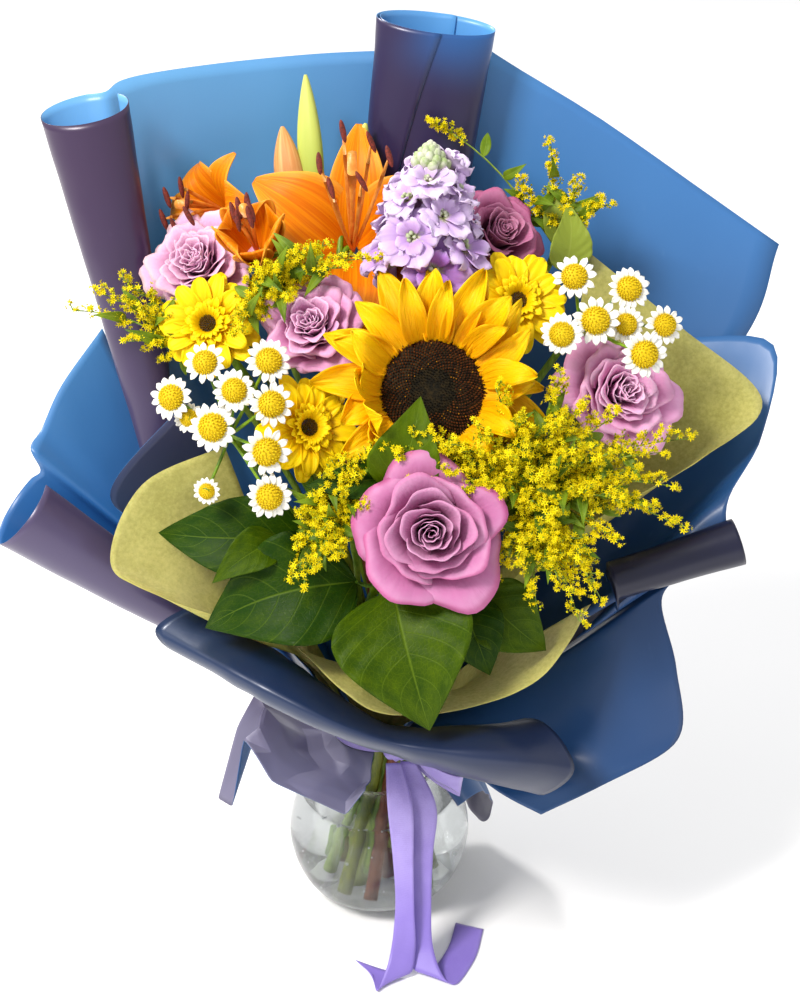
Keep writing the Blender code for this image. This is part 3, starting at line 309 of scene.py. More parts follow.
def aim(place, direction, turn=0.0):
    """The placement whose local +Z looks along direction, with local +Y up the face."""
    side = FACE_UP.cross(direction).normalized()
    turned_to = Matrix((side, direction.cross(side), direction)).transposed().to_4x4()
    return Matrix.Translation(place) @ turned_to @ Matrix.Rotation(turn, 4, "Z")


def rod(shape, points, radii, sides=10):
    """Adds a closed round rod through the points to a shape."""
    rings = []
    last = len(points) - 1
    for i, (point, radius) in enumerate(zip(points, radii)):
        ahead = points[min(i + 1, last)] - points[max(i - 1, 0)]
        placement = Matrix.Translation(point) @ ahead.to_track_quat("Z", "Y").to_matrix().to_4x4()
        ring = bmesh.ops.create_circle(
            shape, cap_ends=i in (0, last), segments=sides, radius=radius, matrix=placement
        )["verts"]
        rings.append(list({edge for vertex in ring for edge in vertex.link_edges}))
    for ring, following in zip(rings, rings[1:]):
        bmesh.ops.bridge_loops(shape, edges=ring + following)


def stalk_ends(node):
    """The middle of a stalk's cut foot, and its place in the tie, read from its solid."""
    corners = np.unique(np.round([tuple(v.co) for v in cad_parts[node].data.vertices], 5), axis=0)
    low = corners[:, 2].min()
    foot = corners[corners[:, 2] < low + 0.0022].mean(axis=0)
    waist = corners[np.abs(corners[:, 2] - TIE_HEIGHT) < 0.003]
    return Vector(foot), Vector(waist.mean(axis=0))


def stalk(shape, node, end, direction, radius, knots=0.0, seed=1, sides=10):
    """Adds a stalk from its foot in the vase through the tie to behind its flower, which it meets square."""
    foot, waist = stalk_ends(node)
    run = (waist - foot).normalized()
    reach = (end - waist).length
    first, second = waist + run * reach * 0.42, end - direction * reach * 0.14
    points = [foot.lerp(waist, i / 16) for i in range(16)]
    for i in range(19):
        t = i / 18
        points.append(
            waist * (1 - t) ** 3 + first * 3 * t * (1 - t) ** 2 + second * 3 * t ** 2 * (1 - t) + end * t ** 3
        )
    rng = random.Random(seed)
    scars = {rng.randrange(2, 15) for _ in range(3)} if knots else set()
    radii = [radius * rng.uniform(0.96, 1.04) * (1 + knots * (i in scars)) for i in range(len(points))]
    radii = [thick * (1.28 if i < 13 else 1.0) for i, thick in enumerate(radii)]
    radii[0] *= 1.08
    bend = radius * 0.25
    points = [p + Vector((rng.uniform(-bend, bend), rng.uniform(-bend, bend), 0)) for p in points]
    rod(shape, points, radii, sides)


def stalk_finish(name, dark, light, scar):
    """Green stem skin: fine ribs along it, blotches, and corky scars."""
    material, wire, shader = finish(name, Roughness=0.5, Subsurface_Weight=0.08, Subsurface_Radius=(0.002,) * 3)
    place = wire.node("TexCoord", {}, output=3)
    ribs = place.grain(900.0, 2.0, (1, 1, 0.03))
    blotch = place.grain(70.0, 4.0, (1, 1, 0.6))
    skin = (ribs * 0.4 + blotch * 0.6).clear(0.32, 0.68).tint(dark, light)
    marks = place.grain(260.0, 3.0, (1, 1, 0.4)).clear(0.66, 0.74)
    wire.plug(shader["Base Color"], (marks * 0.8).tint(skin, scar))
    relief(wire, shader, ribs + marks * 0.6, 0.35, 0.0004)
    return material


stem_green = stalk_finish("green stem", (0.035, 0.11, 0.0), (0.22, 0.38, 0.0), (0.18, 0.13, 0.02))
stem_pale = stalk_finish("pale stem", (0.24, 0.32, 0.03), (0.52, 0.60, 0.14), (0.26, 0.18, 0.05))
stem_red = stalk_finish("reddish stem", (0.10, 0.020, 0.003), (0.29, 0.085, 0.018), (0.05, 0.016, 0.004))
stem_olive = stalk_finish("rough stem", (0.05, 0.07, 0.0), (0.22, 0.25, 0.008), (0.09, 0.04, 0.008))

STALKS = (
    ("sunflower", (18, 60, 90), (0.02, 0.05), 4.2, 9.0, stem_pale, 0.10),
    ("rose_front", (17, -16, 96), (0.0, -0.05), 3.2, 0.0, stem_red, 0.22),
    ("rose_left", (-49, 98, 58), (-0.12, 0.16), 3.0, 0.0, stem_red, 0.22),
    ("rose_right", (121, 62, 52), (0.22, 0.0), 3.0, 0.0, stem_olive, 0.20),
    ("rose_upper_left", (-113, 138, 28), (-0.20, 0.25), 3.0, 0.0, stem_olive, 0.20),
    ("rose_upper_right", (54, 156, 26), (0.10, 0.45), 3.0, 0.0, stem_red, 0.20),
    ("gerbera_left", (-108, 99, 65), (-0.15, 0.15), 2.6, 3.0, stem_green, 0.0),
    ("gerbera_low", (-53, 40, 84), (0.50, 0.10), 2.6, 3.0, stem_green, 0.0),
    ("gerbera_right", (66, 112, 66), (0.15, 0.15), 2.6, 3.0, stem_pale, 0.0),
    ("stock", (14, 126, 64), (0.1, 2.4), 4.6, 0.0, stem_pale, 0.14),
)
for i, (flower, place, lean, radius, behind, skin, knots) in enumerate(STALKS):
    shape = bmesh.new()
    direction = facing(*lean)
    stalk(shape, flower + "_stem", face(*place) - direction * behind * MM, direction, radius * MM, knots, i)
    piece(flower + "_stalk", shape, [skin], "stem", flower + "_stem")


# The wrapping film: sheets of printed florist's film, blue on the side that holds the flowers and a pearly
# violet-grey outside, gathered in pleats under the tie. Some edges curl over into tubes.

WRAP_RADIUS, LAYER_STEP = 22.0, 1.4
TIE = Vector((0.0, -0.005, TIE_HEIGHT))
BAND_WIDTH = 0.008
ROLL_STEPS = 14


def film_finish(name, foot, left, right, top_left, top_right, painted_glow, streak_tone, metal, rough):
    """Smooth satin film with light and shade painted into its colour: its own tone at its foot, painted light on its
    left and painted shade on its right, and tones towards its top, where painted light on the blue side stands for
    light glowing through, with a painted glow patch high up."""
    material, wire, shader = finish(name, Coat_Roughness=0.22, Coat_Weight=0.15, Metallic=metal, IOR=1.45)
    place = wire.node("TexCoord", {}, output=3)
    cloud = place.grain(7.0, 2.0)
    aside = (wire.node("SeparateXYZ", {0: place}, output=0) + (cloud - 0.5) * 0.10).clear(-0.20, 0.17)
    high = wire.node("SeparateXYZ", {0: place}, output=2)
    # Painted light and shade: lighter to the left, darker to the right, and changing towards the top, where the blue
    # side is painted lighter as light glowing through.
    low_tone = high.clear(0.13, 0.17).tint(foot, aside.tint(left, right))
    body = (high + (cloud - 0.5) * 0.08).clear(0.26, 0.50).tint(low_tone, aside.tint(top_left, top_right))
    # Painted glow: a lighter, bluer patch high up, a little right of the middle.
    painted_glow_patch = (high + aside * 0.05).clear(0.560, 0.615) * aside.clear(0.58, 0.78)
    body = painted_glow_patch.tint(body, painted_glow)
    # Faint lighter streaks that run up the film, which are also a little rougher.
    film_streaks = place.grain(90.0, 4.0, (1, 1, 0.3)).clear(0.66, 0.84)
    wire.plug(shader["Base Color"], (film_streaks * 0.12).tint(body, streak_tone))
    handled = 1 - high.clear(0.10, 0.17)
    wire.plug(shader["Roughness"], cloud * 0.10 + film_streaks * 0.06 + handled * 0.14 + rough)
    creases = place.grain(14.0, 4.0, (1, 1, 0.5), 0.45)
    relief(wire, shader, creases, 0.25, 0.006)
    return material


film_blue = film_finish(
    "film inside", (0.020, 0.085, 0.24), (0.016, 0.105, 0.32), (0.014, 0.054, 0.165),
    (0.130, 0.370, 0.68), (0.046, 0.180, 0.45), (0.10, 0.34, 0.68), (0.15, 0.30, 0.55), 0.0, 0.34)
film_violet = film_finish(
    "film outside", (0.165, 0.155, 0.24), (0.080, 0.062, 0.135), (0.006, 0.007, 0.026),
    (0.048, 0.027, 0.068), (0.012, 0.010, 0.060), (0.020, 0.130, 0.40), (0.30, 0.24, 0.40), 0.10, 0.28)
# Painted shade: a darker, bluer copy of the outside film, for the front collar and the inner corner.
film_outside_shaded = film_finish(
    "film outside, shaded", (0.15, 0.13, 0.23), (0.012, 0.030, 0.085), (0.011, 0.019, 0.058),
    (0.046, 0.026, 0.062), (0.018, 0.012, 0.045), (0.020, 0.130, 0.40), (0.10, 0.14, 0.26), 0.10, 0.30)


def mm(x, y, z):
    return Vector((x, y, z)) * MM


def column(angle, layer, *places, rise=BAND_WIDTH / 2 + 0.0015):
    """One line of a sheet from the tie outwards, which it leaves at this angle, in this layer of the wrap."""
    radius = WRAP_RADIUS + LAYER_STEP * layer
    turn = math.radians(angle)
    start = TIE + mm(radius * math.cos(turn), radius * math.sin(turn), 0) + Vector((0, 0, rise))
    return [start] + [mm(*place) for place in places]


def rolled_edge(low, high, width, depth, start, sweep, pinch, tuck=0.22, cut=0.0, slant=0.0, steps=ROLL_STEPS):
    """Columns of an edge rolled about the line low to high: 0 degrees is the viewer's side, cut down at the top."""
    low, high = mm(*low), mm(*high)
    axis = (high - low).normalized()
    front = (FACE_OUT - axis * FACE_OUT.dot(axis)).normalized()
    side = axis.cross(front)
    columns = []
    for k in range(steps + 1):
        line = []
        for j in range(4):
            around = math.radians(start + (sweep + slant * (j / 3 - 1)) * k / steps)
            lean = (front * math.cos(around) * depth + side * math.sin(around) * width) * MM / 2
            line.append(low.lerp(high, j / 3) + lean * (1 - tuck * k / steps) * (pinch + (1 - pinch) * j / 3))
        line[3] -= axis * cut * MM * (1 + math.cos(around)) / 2
        columns.append(line)
    return columns


def grid(shape, surface, across, along):
    """Adds a grid laid on surface(s, t), with s from -1 to 1 across it and t from 0 to 1 along it."""
    if not shape.loops.layers.uv:
        shape.loops.layers.uv.new("grain")
    corners = bmesh.ops.create_grid(shape, x_segments=across, y_segments=along, size=1, calc_uvs=True)["verts"]
    for corner in corners:
        corner.co = surface(corner.co.x, (corner.co.y + 1) / 2)
    return corners


def sheet(name, columns, sides, slot, along=44, finer=6, pleat=1.0, crush=0.4, gathered=True, thick=0.0004):
    """A sheet through its columns, pleated where it leaves the tie and creased by handling."""
    first = 0.05 if gathered else 0.0
    width = len(columns) - 1

    def surface(s, t):
        fanned = max(0.0, (t - first) / (1 - first))
        place = spline([spline(points, fanned) for points in columns], (s + 1) / 2)
        return place - Vector((0, 0, BAND_WIDTH)) if t < first / 2 else place

    shape = bmesh.new()
    corners = grid(shape, surface, min(finer * width, 110), along)
    shape.normal_update()
    for corner in corners:
        away = (corner.co - TIE).length
        if crush > 1:
            bent = noise.noise_vector(corner.co * 41) + noise.noise_vector(corner.co * 90) * 0.7
            corner.co += (bent * 5 + corner.normal * 9 * noise.noise(corner.co * 63)) * MM * min(1.0, away / 0.07)
        elif away > 0.03 or not gathered:
            turn = math.atan2(corner.co.y - TIE.y, corner.co.x)
            near = math.exp(-away / 0.10)
            fold = math.sin(turn * 23 + 2 * math.sin(turn * 9)) * 1.6 * near * pleat
            fold += noise.noise(corner.co * 16) * 2.6 * crush + noise.noise(corner.co * 55) * 0.8 * crush
            settle = min(1.0, (away - 0.03) / 0.03) if gathered else min(1.0, away / 0.06)
            corner.co += corner.normal * fold * MM * settle
    if crush > 1:
        bmesh.ops.triangulate(shape, faces=shape.faces[:], quad_method="SHORT_EDGE")
        bmesh.ops.subdivide_edges(shape, edges=shape.edges[:], cuts=5, use_grid_fill=True)
        bmesh.ops.smooth_vert(
            shape, verts=shape.verts[:], factor=0.5, use_axis_x=True, use_axis_y=True, use_axis_z=True
        )
    made = piece(name, shape, sides, slot, name.replace("_sheet", ""), thick=thick)
    if crush > 1:
        made.data.set_sharp_from_angle(angle=math.radians(16))
    return made


OVER_BAND = BAND_WIDTH * 1.5 + 0.0015
OUTSIDE_FIRST, INSIDE_FIRST = [film_violet, film_blue], [film_blue, film_violet]
# The collar and the inner corner show the painted-shade copy of the outside film.
OUTSIDE_SHADED_BEHIND = [film_blue, film_outside_shaded]

roll = rolled_edge((-128, -12, 334), (-168, 46, 534), 60, 40, 160, 330, 0.45, cut=17)
sheet("film_back_left_sheet", [
    column(74, 4, (30, 66, 308), (44, 93, 429), (50, 111, 540)),
    column(88, 4, (11, 68, 308), (20, 98, 429), (26, 118, 540)),
    column(107, 4, (-17, 64, 309), (-29, 96, 430), (-28, 116, 539)),
    column(126, 4, (-48, 54, 313), (-80, 86, 426), (-81, 106, 537)),
    column(142, 4, (-78, 34, 315), (-122, 70, 426), (-128, 86, 536)),
    column(148, 4, (-84, 22, 300), (-126, 50, 412), (-150, 74, 534), rise=OVER_BAND),
] + roll, OUTSIDE_FIRST, "wrapping_film")
roll = rolled_edge(
    (18, 66, 428), (36, 86, 569), 66, 32, 160, 566, 0.85, tuck=-0.10, cut=8, slant=40, steps=26)
sheet("film_back_right_sheet", roll[::-1] + [
    column(90, 3, (24, 54, 308), (40, 84, 429), (46, 102, 560), rise=OVER_BAND),
    column(80, 3, (48, 54, 308), (72, 82, 429), (78, 101, 538)),
    column(65, 3, (94, 48, 302), (128, 76, 410), (135, 98, 504)),
    column(42, 3, (120, 34, 292), (174, 60, 381), (198, 90, 462)),
    column(20, 3, (138, 18, 283), (224, 50, 376), (247, 76, 431)),
], INSIDE_FIRST, "wrapping_film")
roll = rolled_edge((138, -72, 279), (211, -62, 300), 30, 28, 145, -290, 0.85)
sheet("film_right_sheet", [
    column(45, 2, (104, 22, 250), (140, 34, 330), (160, 50, 376)),
    column(30, 2, (122, -8, 262), (166, 8, 342), (190, 36, 386)),
    column(8, 2, (130, -20, 252), (200, -8, 336), (238, 20, 388)),
    column(-12, 2, (130, -32, 243), (192, -34, 308), (228, -18, 345)),
    column(-28, 2, (122, -45, 233), (172, -56, 294), (206, -50, 322)),
    column(-35, 2, (112, -56, 222), (158, -68, 274), (206, -60, 302), rise=OVER_BAND),
] + roll, INSIDE_FIRST, "wrapping_film")
sheet("film_front_right_sheet", [
    column(5, 3, (88, -8, 184), (146, -22, 252), (186, -26, 284)),
    column(-10, 3, (88, -24, 184), (146, -36, 250), (186, -38, 280)),
    column(-22, 3, (90, -40, 188), (144, -52, 244), (182, -52, 272)),
    column(-32, 3, (80, -48, 190), (132, -62, 232), (170, -58, 256)),
    column(-45, 3, (80, -60, 174), (132, -80, 204), (179, -76, 220)),
    column(-57, 3, (76, -70, 164), (130, -96, 174), (181, -87, 176)),
    column(-67, 3, (63, -75, 158), (102, -105, 160), (134, -111, 160)),
    column(-77, 3, (45, -75, 154), (74, -105, 150), (98, -117, 143)),
], INSIDE_FIRST, "wrapping_film", finer=12)
sheet("film_front_collar_sheet", [
    column(212, 2, (-58, -42, 204), (-98, -62, 254), (-128, -84, 254), (-118, -88, 240), (-99, -70, 232)),
    column(235, 2, (-30, -62, 190), (-46, -104, 240), (-62, -134, 246), (-50, -136, 228), (-36, -112, 214)),
    column(262, 2, (4, -66, 170), (4, -122, 212), (2, -154, 224), (12, -146, 206), (16, -122, 192)),
    column(285, 2, (34, -70, 166), (58, -126, 214), (72, -160, 216), (62, -152, 194), (56, -126, 180)),
    column(308, 2, (60, -70, 170), (94, -112, 208), (114, -142, 196), (98, -136, 172), (80, -112, 164)),
], OUTSIDE_SHADED_BEHIND, "wrapping_film", finer=14)
roll = rolled_edge((-80, -34, 204), (-206, -52, 316), 58, 58, 130, 290, 0.38)
sheet("film_left_sheet", [
    column(160, 5, (-100, 4, 258), (-140, 28, 328), (-168, 46, 388)),
    column(171, 5, (-92, -8, 250), (-148, 4, 316), (-190, 16, 364)),
    column(182, 5, (-84, -22, 236), (-152, -22, 304), (-200, -8, 346)),
    column(187, 5, (-70, -26, 208), (-134, -36, 278), (-204, -26, 342), rise=OVER_BAND),
] + roll, OUTSIDE_FIRST, "wrapping_film")
sheet("film_inner_corner_sheet", [
    column(150, 2, (-62, -12, 240), (-84, -26, 304), (-110, -32, 376)),
    column(164, 2, (-66, -24, 230), (-102, -36, 286), (-156, -42, 322)),
    column(177, 2, (-62, -36, 220), (-94, -50, 264), (-130, -54, 300)),
], OUTSIDE_SHADED_BEHIND, "wrapping_film", finer=14)
LOW = -BAND_WIDTH / 2 - 0.0006
sheet("film_skirt_left_sheet", [
    column(165, 5, (-44, 4, 126), (-86, -14, 160), (-106, -26, 88), rise=LOW),
    column(174, 5, (-44, -4, 125), (-78, -20, 152), (-94, -32, 84), rise=LOW),
    column(183, 5, (-43, -12, 124), (-68, -24, 144), (-84, -36, 150), rise=LOW),
    column(205, 5, (-40, -26, 122), (-62, -42, 134), (-78, -52, 140), rise=LOW),
    column(225, 5, (-34, -38, 121), (-52, -58, 130), (-65, -66, 132), rise=LOW),
    column(243, 5, (-22, -44, 119), (-36, -64, 122), (-45, -72, 120), rise=LOW),
    column(256, 5, (-10, -44, 119), (-16, -62, 118), (-20, -74, 116), rise=LOW),
    column(264, 5, (-4, -44, 119), (-6, -56, 122), (-8, -66, 126), rise=LOW),
], INSIDE_FIRST, "wrapping_film", finer=1, along=5, crush=2.0, gathered=False)
sheet("film_skirt_right_sheet", [
    column(-50, 5, (32, -34, 119), (42, -48, 110), (50, -56, 103), rise=LOW),
    column(-15, 5, (42, -15, 118), (58, -19, 106), (68, -22, 90), rise=LOW),
    column(20, 5, (42, 13, 117), (66, 16, 84), (76, 12, 52), rise=LOW),
    column(50, 5, (34, 32, 116), (60, 38, 76), (68, 34, 24), rise=LOW),
    column(80, 5, (8, 42, 117), (24, 62, 84), (36, 66, 52), rise=LOW),
    column(115, 5, (-18, 40, 117), (-28, 58, 94), (-34, 64, 72), rise=LOW),
], OUTSIDE_FIRST, "wrapping_film", finer=14, pleat=1.2, crush=0.8, gathered=False)


# The tissue: three sheets of thin yellow-green tissue paper between the flowers and the film, soft and a little
# see-through, with fine creases.

tissue_paper, wire, shader = finish("tissue paper", Roughness=0.85, Subsurface_Weight=0.15, Specular_IOR_Level=0.2)
place = wire.node("TexCoord", {}, output=3)
fibre = place.grain(420.0, 4.0, rough=0.7)
cloud = place.grain(26.0, 3.0)
wire.plug(shader["Base Color"], (fibre * 0.5 + cloud * 0.5).clear(0.3, 0.7).tint((0.34, 0.31, 0.055), (0.55, 0.49, 0.125)))
wire.plug(shader["Alpha"], fibre * 0.12 + 0.87)
relief(wire, shader, place.grain(60.0, 5.0) + fibre * 0.1, 0.5, 0.002)

sheet("tissue_left_sheet", [
    column(160, 1, (-50, -28, 240), (-68, -56, 300), (-86, -62, 362)),
    column(185, 1, (-58, -38, 238), (-92, -62, 298), (-134, -66, 338)),
    column(205, 1, (-60, -48, 232), (-104, -76, 276), (-152, -84, 298)),
    column(222, 1, (-54, -58, 226), (-92, -94, 264), (-124, -106, 290)),
    column(236, 1, (-42, -64, 216), (-66, -98, 252), (-84, -107, 274)),
], [tissue_paper], "tissue_paper", finer=12, crush=0.8, thick=0.0002)
sheet("tissue_front_sheet", [
    column(232, 0, (-22, -62, 200), (-30, -96, 238), (-44, -114, 258)),
    column(252, 0, (-4, -68, 190), (-4, -108, 236), (-18, -142, 248)),
    column(268, 0, (8, -70, 184), (8, -116, 228), (4, -150, 238)),
    column(285, 0, (24, -70, 184), (34, -116, 228), (50, -147, 238)),
    column(302, 0, (42, -66, 192), (60, -102, 230), (94, -130, 250)),
    column(318, 0, (52, -54, 206), (82, -82, 240), (124, -96, 276)),
], [tissue_paper], "tissue_paper", finer=12, crush=0.8, thick=0.0002)
sheet("tissue_right_sheet", [
    column(35, 1, (86, 2, 262), (108, 0, 350), (126, 26, 444)),
    column(18, 1, (94, -8, 258), (136, -12, 330), (180, 10, 404)),
    column(0, 1, (96, -20, 252), (154, -32, 314), (226, -20, 370)),
    column(-14, 1, (88, -30, 250), (136, -48, 306), (186, -48, 344)),
    column(-26, 1, (72, -38, 244), (106, -56, 294), (148, -68, 330)),
], [tissue_paper], "tissue_paper", finer=12, crush=0.8, thick=0.0002)


# The ribbon: lavender satin, 25 mm wide, wound round the tie and knotted at the front, with one small loop and
# two tails that run down the vase and fold over on the floor.

satin, wire, shader = finish("lavender satin", Sheen_Weight=0.2, Sheen_Roughness=0.35, Anisotropic=0.4)
cloth = wire.node("UVMap", {}, uv_map="grain")
place = wire.node("TexCoord", {}, output=3)
ribs = wire.node("TexWave", {"Vector": cloth, "Scale": 60.0, "Distortion": 0.2}, output=1, bands_direction="Y")
threads = place.grain(1400.0, 2.0)
cloud = place.grain(40.0, 2.0)
# Painted shade: the satin turns darker and bluer towards the floor, down the tails below the film.
painted_floor_shade = 1 - wire.node("SeparateXYZ", {0: place}, output=2).clear(0.02, 0.11)
colour = (cloud * 0.7 + threads * 0.3).clear(0.3, 0.7).tint((0.27, 0.20, 0.52), (0.40, 0.32, 0.68))
wire.plug(shader["Base Color"], (painted_floor_shade * 0.8).tint(colour, (0.22, 0.15, 0.56)))
wire.plug(shader["Roughness"], threads * 0.1 + 0.34)
relief(wire, shader, ribs * 0.5 + threads * 0.5, 0.25, 0.0003)


def ribbon(name, places, along=90):
    """A ribbon strip through pairs of (middle, half width) vectors."""
    middles = [mm(*middle) for middle, _ in places]
    halves = [mm(*half) for _, half in places]

    def surface(s, t):
        middle, half = spline(middles, t), spline(halves, t)
        ripple = noise.noise(middle * 60 + Vector((s, 0, 0))) * 0.0006
        return middle + half * s + Vector((0, -ripple, 0))

    shape = bmesh.new()
    grid(shape, surface, 8, along)
    made = piece(name + "_strip", shape, [satin], "satin_ribbon", name, thick=0.0003)
    line = [spline(middles, i / 200) for i in range(201)]
    length = sum((b - a).length for a, b in zip(line, line[1:]))
    width = sum(2 * spline(halves, i / 200).length for i in range(201)) / 201
    return made


BAND_RADIUS = 0.0300
wrap = bmesh.new()
grid(wrap, lambda s, t: Vector((
    (BAND_RADIUS + 0.0004 + 0.0004 * math.sin(5 * s + 9 * t)) * math.cos(t * math.tau * 0.9997),
    (BAND_RADIUS + 0.0004 + 0.0004 * math.sin(5 * s + 9 * t)) * math.sin(t * math.tau * 0.9997) + TIE.y,
    TIE.z + s * BAND_WIDTH * 0.5,
)), 8, 120)
knot_middle = mm(12, -38.5, 134.5)
bmesh.ops.create_icosphere(wrap, subdivisions=4, radius=1.0, matrix=Matrix.Translation(knot_middle) @ Matrix.Diagonal(
    (0.0085, 0.0075, 0.0062, 1)))
for corner in wrap.verts:
    apart = corner.co - knot_middle
    if apart.length < 0.009:
        corner.co += apart.normalized() * 0.0007 * math.sin(apart.x * 1500 + apart.z * 900)
piece("ribbon_wrap", wrap, [satin], "satin_ribbon", "ribbon_band", thick=0.0006)
ribbon("ribbon_loop", [
    ((20.5, -41, 136), (0, -1, 3)), ((34, -56, 130), (1, -5, 7)), ((50, -60, 124), (2, -5, 9)),
    ((52, -52, 121), (1, 5, 9)), ((38, -46, 122), (0, 3, 7)), ((24, -40, 126), (0, 2, 3)),
])
ribbon("ribbon_tail_left", [
    ((10, -45.6, 129.3), (-5, 0, 0)), ((14, -62, 108), (-8, 1, 0)), ((16, -76, 76), (-6.5, 1, 0)),
    ((17, -84, 45), (-6, 2, 0)), ((16, -93, 17), (-8, -1, 0)), ((11, -104, 4), (-9, -5, 0.4)),
    ((1, -103, 2), (-2, -10, 0)), ((-9, -92, 2.5), (6, -7, 0)),
])
ribbon("ribbon_tail_right", [
    ((19, -42, 128), (5, 0, 0)), ((29, -56, 104), (8, -1, 0)), ((28, -68, 76), (7, -1, 0)),
    ((27, -77, 45), (7, -1, 0)), ((26, -87, 17), (9, -1, 0)), ((33, -100, 4), (9, -3, 0)),
    ((43, -98, 1.2), (8, -7, 0)), ((54, -76, 1.0), (9, -4, 0)), ((60, -50, 1.0), (9, -3, 0)),
])


# The leaves: broad lemon-leaf foliage, dark and glossy, with pale side veins that curve to the tip. It is tucked
# round the front of the bouquet and twists on short stalks from its own stems.


def petal(shape, placement, surface, across, along, shade=0.5):
    """Adds one leaf or petal with its surface(s, t) set at a placement, tinted by its own shade."""
    if not shape.verts.layers.float:
        shape.loops.layers.uv.new("grain")
        shape.verts.layers.float.new("shade")
    tone = shape.verts.layers.float["shade"]
    for corner in grid(shape, surface, across, along):
        corner.co = placement @ corner.co
        corner[tone] = shade


def petal_wire(name, **constants):
    """A petal's material with its wires: across it, along it, and its own shade."""
    material, wire, shader = finish(name, **{"Specular_IOR_Level": 0.16, **constants})
    cloth = wire.node("UVMap", {}, uv_map="grain")
    across = wire.node("SeparateXYZ", {0: cloth}, output=0)
    along = wire.node("SeparateXYZ", {0: cloth}, output=1)
    shade = wire.node("Attribute", {}, output=2, attribute_name="shade")
    return material, shader, cloth, across, along, shade


LEAF_SKIN = dict(Specular_IOR_Level=0.10, Subsurface_Weight=0.04, Subsurface_Radius=(0.003,) * 3)
leaf_dark, shader, cloth, across, along, shade = petal_wire("lemon leaf", **LEAF_SKIN)
aside = (across - 0.5).maths("ABSOLUTE", across - 0.5) * 2
side_run = (along - aside * 0.20 - aside * aside * 0.10) * 6.5
side_veins = side_run.maths("PINGPONG", side_run, 0.5)
vein = 1 - side_veins.clear(0.0, 0.05)
midrib = 1 - aside.clear(0.0, 0.035)
net = cloth.node("TexVoronoi", {"Vector": cloth, "Scale": 30.0}, feature="DISTANCE_TO_EDGE")
cells = net.clear(0.0, 0.10)
tone = cloth.grain(5.0, 4.0) * 0.5 + shade * 0.7 - cells * 0.08
body = tone.clear(0.25, 0.95).tint((0.009, 0.036, 0.0), (0.090, 0.145, 0.0))
lines = vein.maths("MAXIMUM", vein * 0.5, midrib)
cloth.plug(shader["Base Color"], (lines * 0.34).tint(body, (0.17, 0.26, 0.015)))
cloth.plug(shader["Roughness"], cells * 0.08 + 0.40)
relief(cloth, shader, cells * 0.25 - lines, 0.4, 0.0006)


def leaf(shape, base, tip, width, direction, arch=0.14, wave=0.05, shade=0.5, seed=0, fine=(22, 40)):
    """A leaf from base to tip, this many millimetres wide, with its upper side turned to direction."""
    length = (tip - base).length
    run = (tip - base).normalized()
    up = (direction - run * direction.dot(run)).normalized()
    side = run.cross(up)
    rng = random.Random(seed)
    phase, bend = rng.uniform(0, 6), rng.uniform(-0.06, 0.06)

    def surface(s, t):
        half = 0.5 * width * MM * math.sin(math.pi * t ** 0.66) ** 0.92 * (1.06 - 0.22 * t)
        ripple = wave * math.sin(t * 17 + phase + s) * abs(s) ** 2.5 * half
        quilt = 0.030 * half * math.cos((t - abs(s) * 0.20 - s * s * 0.10) * 6.5 * math.tau) * abs(s)
        height = arch * length * 4 * t * (1 - t) + 0.22 * half * abs(s) ** 1.4 + ripple + quilt - 0.10 * length * t ** 3
        return base + run * length * t + side * (half * s + bend * length * math.sin(math.pi * t)) + up * height

    petal(shape, Matrix(), surface, *fine, shade)


def leafy_stem(node, end, lean, radius, leaves, seed):
    foliage, twigs = bmesh.new(), bmesh.new()
    stalk(twigs, node, face(*end), facing(*lean), radius * MM, 0.1, seed)
    for i, (base, tip, width, side) in enumerate(leaves):
        leaf(foliage, face(*base), face(*tip), width, facing(*side), shade=0.25 + 0.5 * (i % 3) / 2, seed=seed * 7 + i)
        start, finish_at = face(*end), face(*base)
        reach = (face(*tip) - finish_at) * 0.12
        rod(twigs, [start.lerp(finish_at, k / 5) + Vector((0, 0, -0.003 * math.sin(math.pi * k / 5))) for k in range(6)]
            + [finish_at + reach], [0.0012] * 6 + [0.0006], 8)
    piece(node + "_blades", foliage, [leaf_dark], "leaf", node, thick=0.0004)
    piece(node + "_stalks", twigs, [stem_green], "stem", node)


leafy_stem("leaves_left", (-52, -24, 62), (-0.8, 0), 2.4, [
    ((-56, -20, 66), (-140, -18, 58), 48, (0.1, 0.1)), ((-68, -22, 74), (-104, -45, 90), 26, (-0.3, 0)),
], 21)
leafy_stem("leaves_front", (-10, -46, 62), (-0.1, -0.6), 2.6, [
    ((-24, -46, 76), (-112, -72, 70), 66, (-0.1, 0.1)), ((-4, -50, 86), (16, -127, 98), 80, (0, -0.1)),
    ((-5, 6, 104), (11, 55, 118), 40, (0, -0.1)), ((-6, 12, 100), (-52, 8, 106), 22, (0, 0.2)),
], 22)
leafy_stem("leaves_front_right", (34, -52, 62), (0.4, -0.6), 2.4, [
    ((34, -56, 76), (51, -99, 76), 38, (0.1, -0.1)), ((44, -50, 72), (84, -86, 66), 42, (0.2, -0.1)),
], 23)


# The goldenrod: arching plumes of green twigs, crowded with tiny yellow star florets and paler buds. It fills
# the gaps all round, and froths over at the right and the front left.


def cast(shape):
    """A small shape as a mesh, to be put many times into a bigger one."""
    mesh = bpy.data.meshes.new("cast")
    shape.to_mesh(mesh)
    shape.free()
    return mesh


def put(shape, small, placement):
    small.transform(placement)
    shape.from_mesh(small)
    small.transform(placement.inverted())


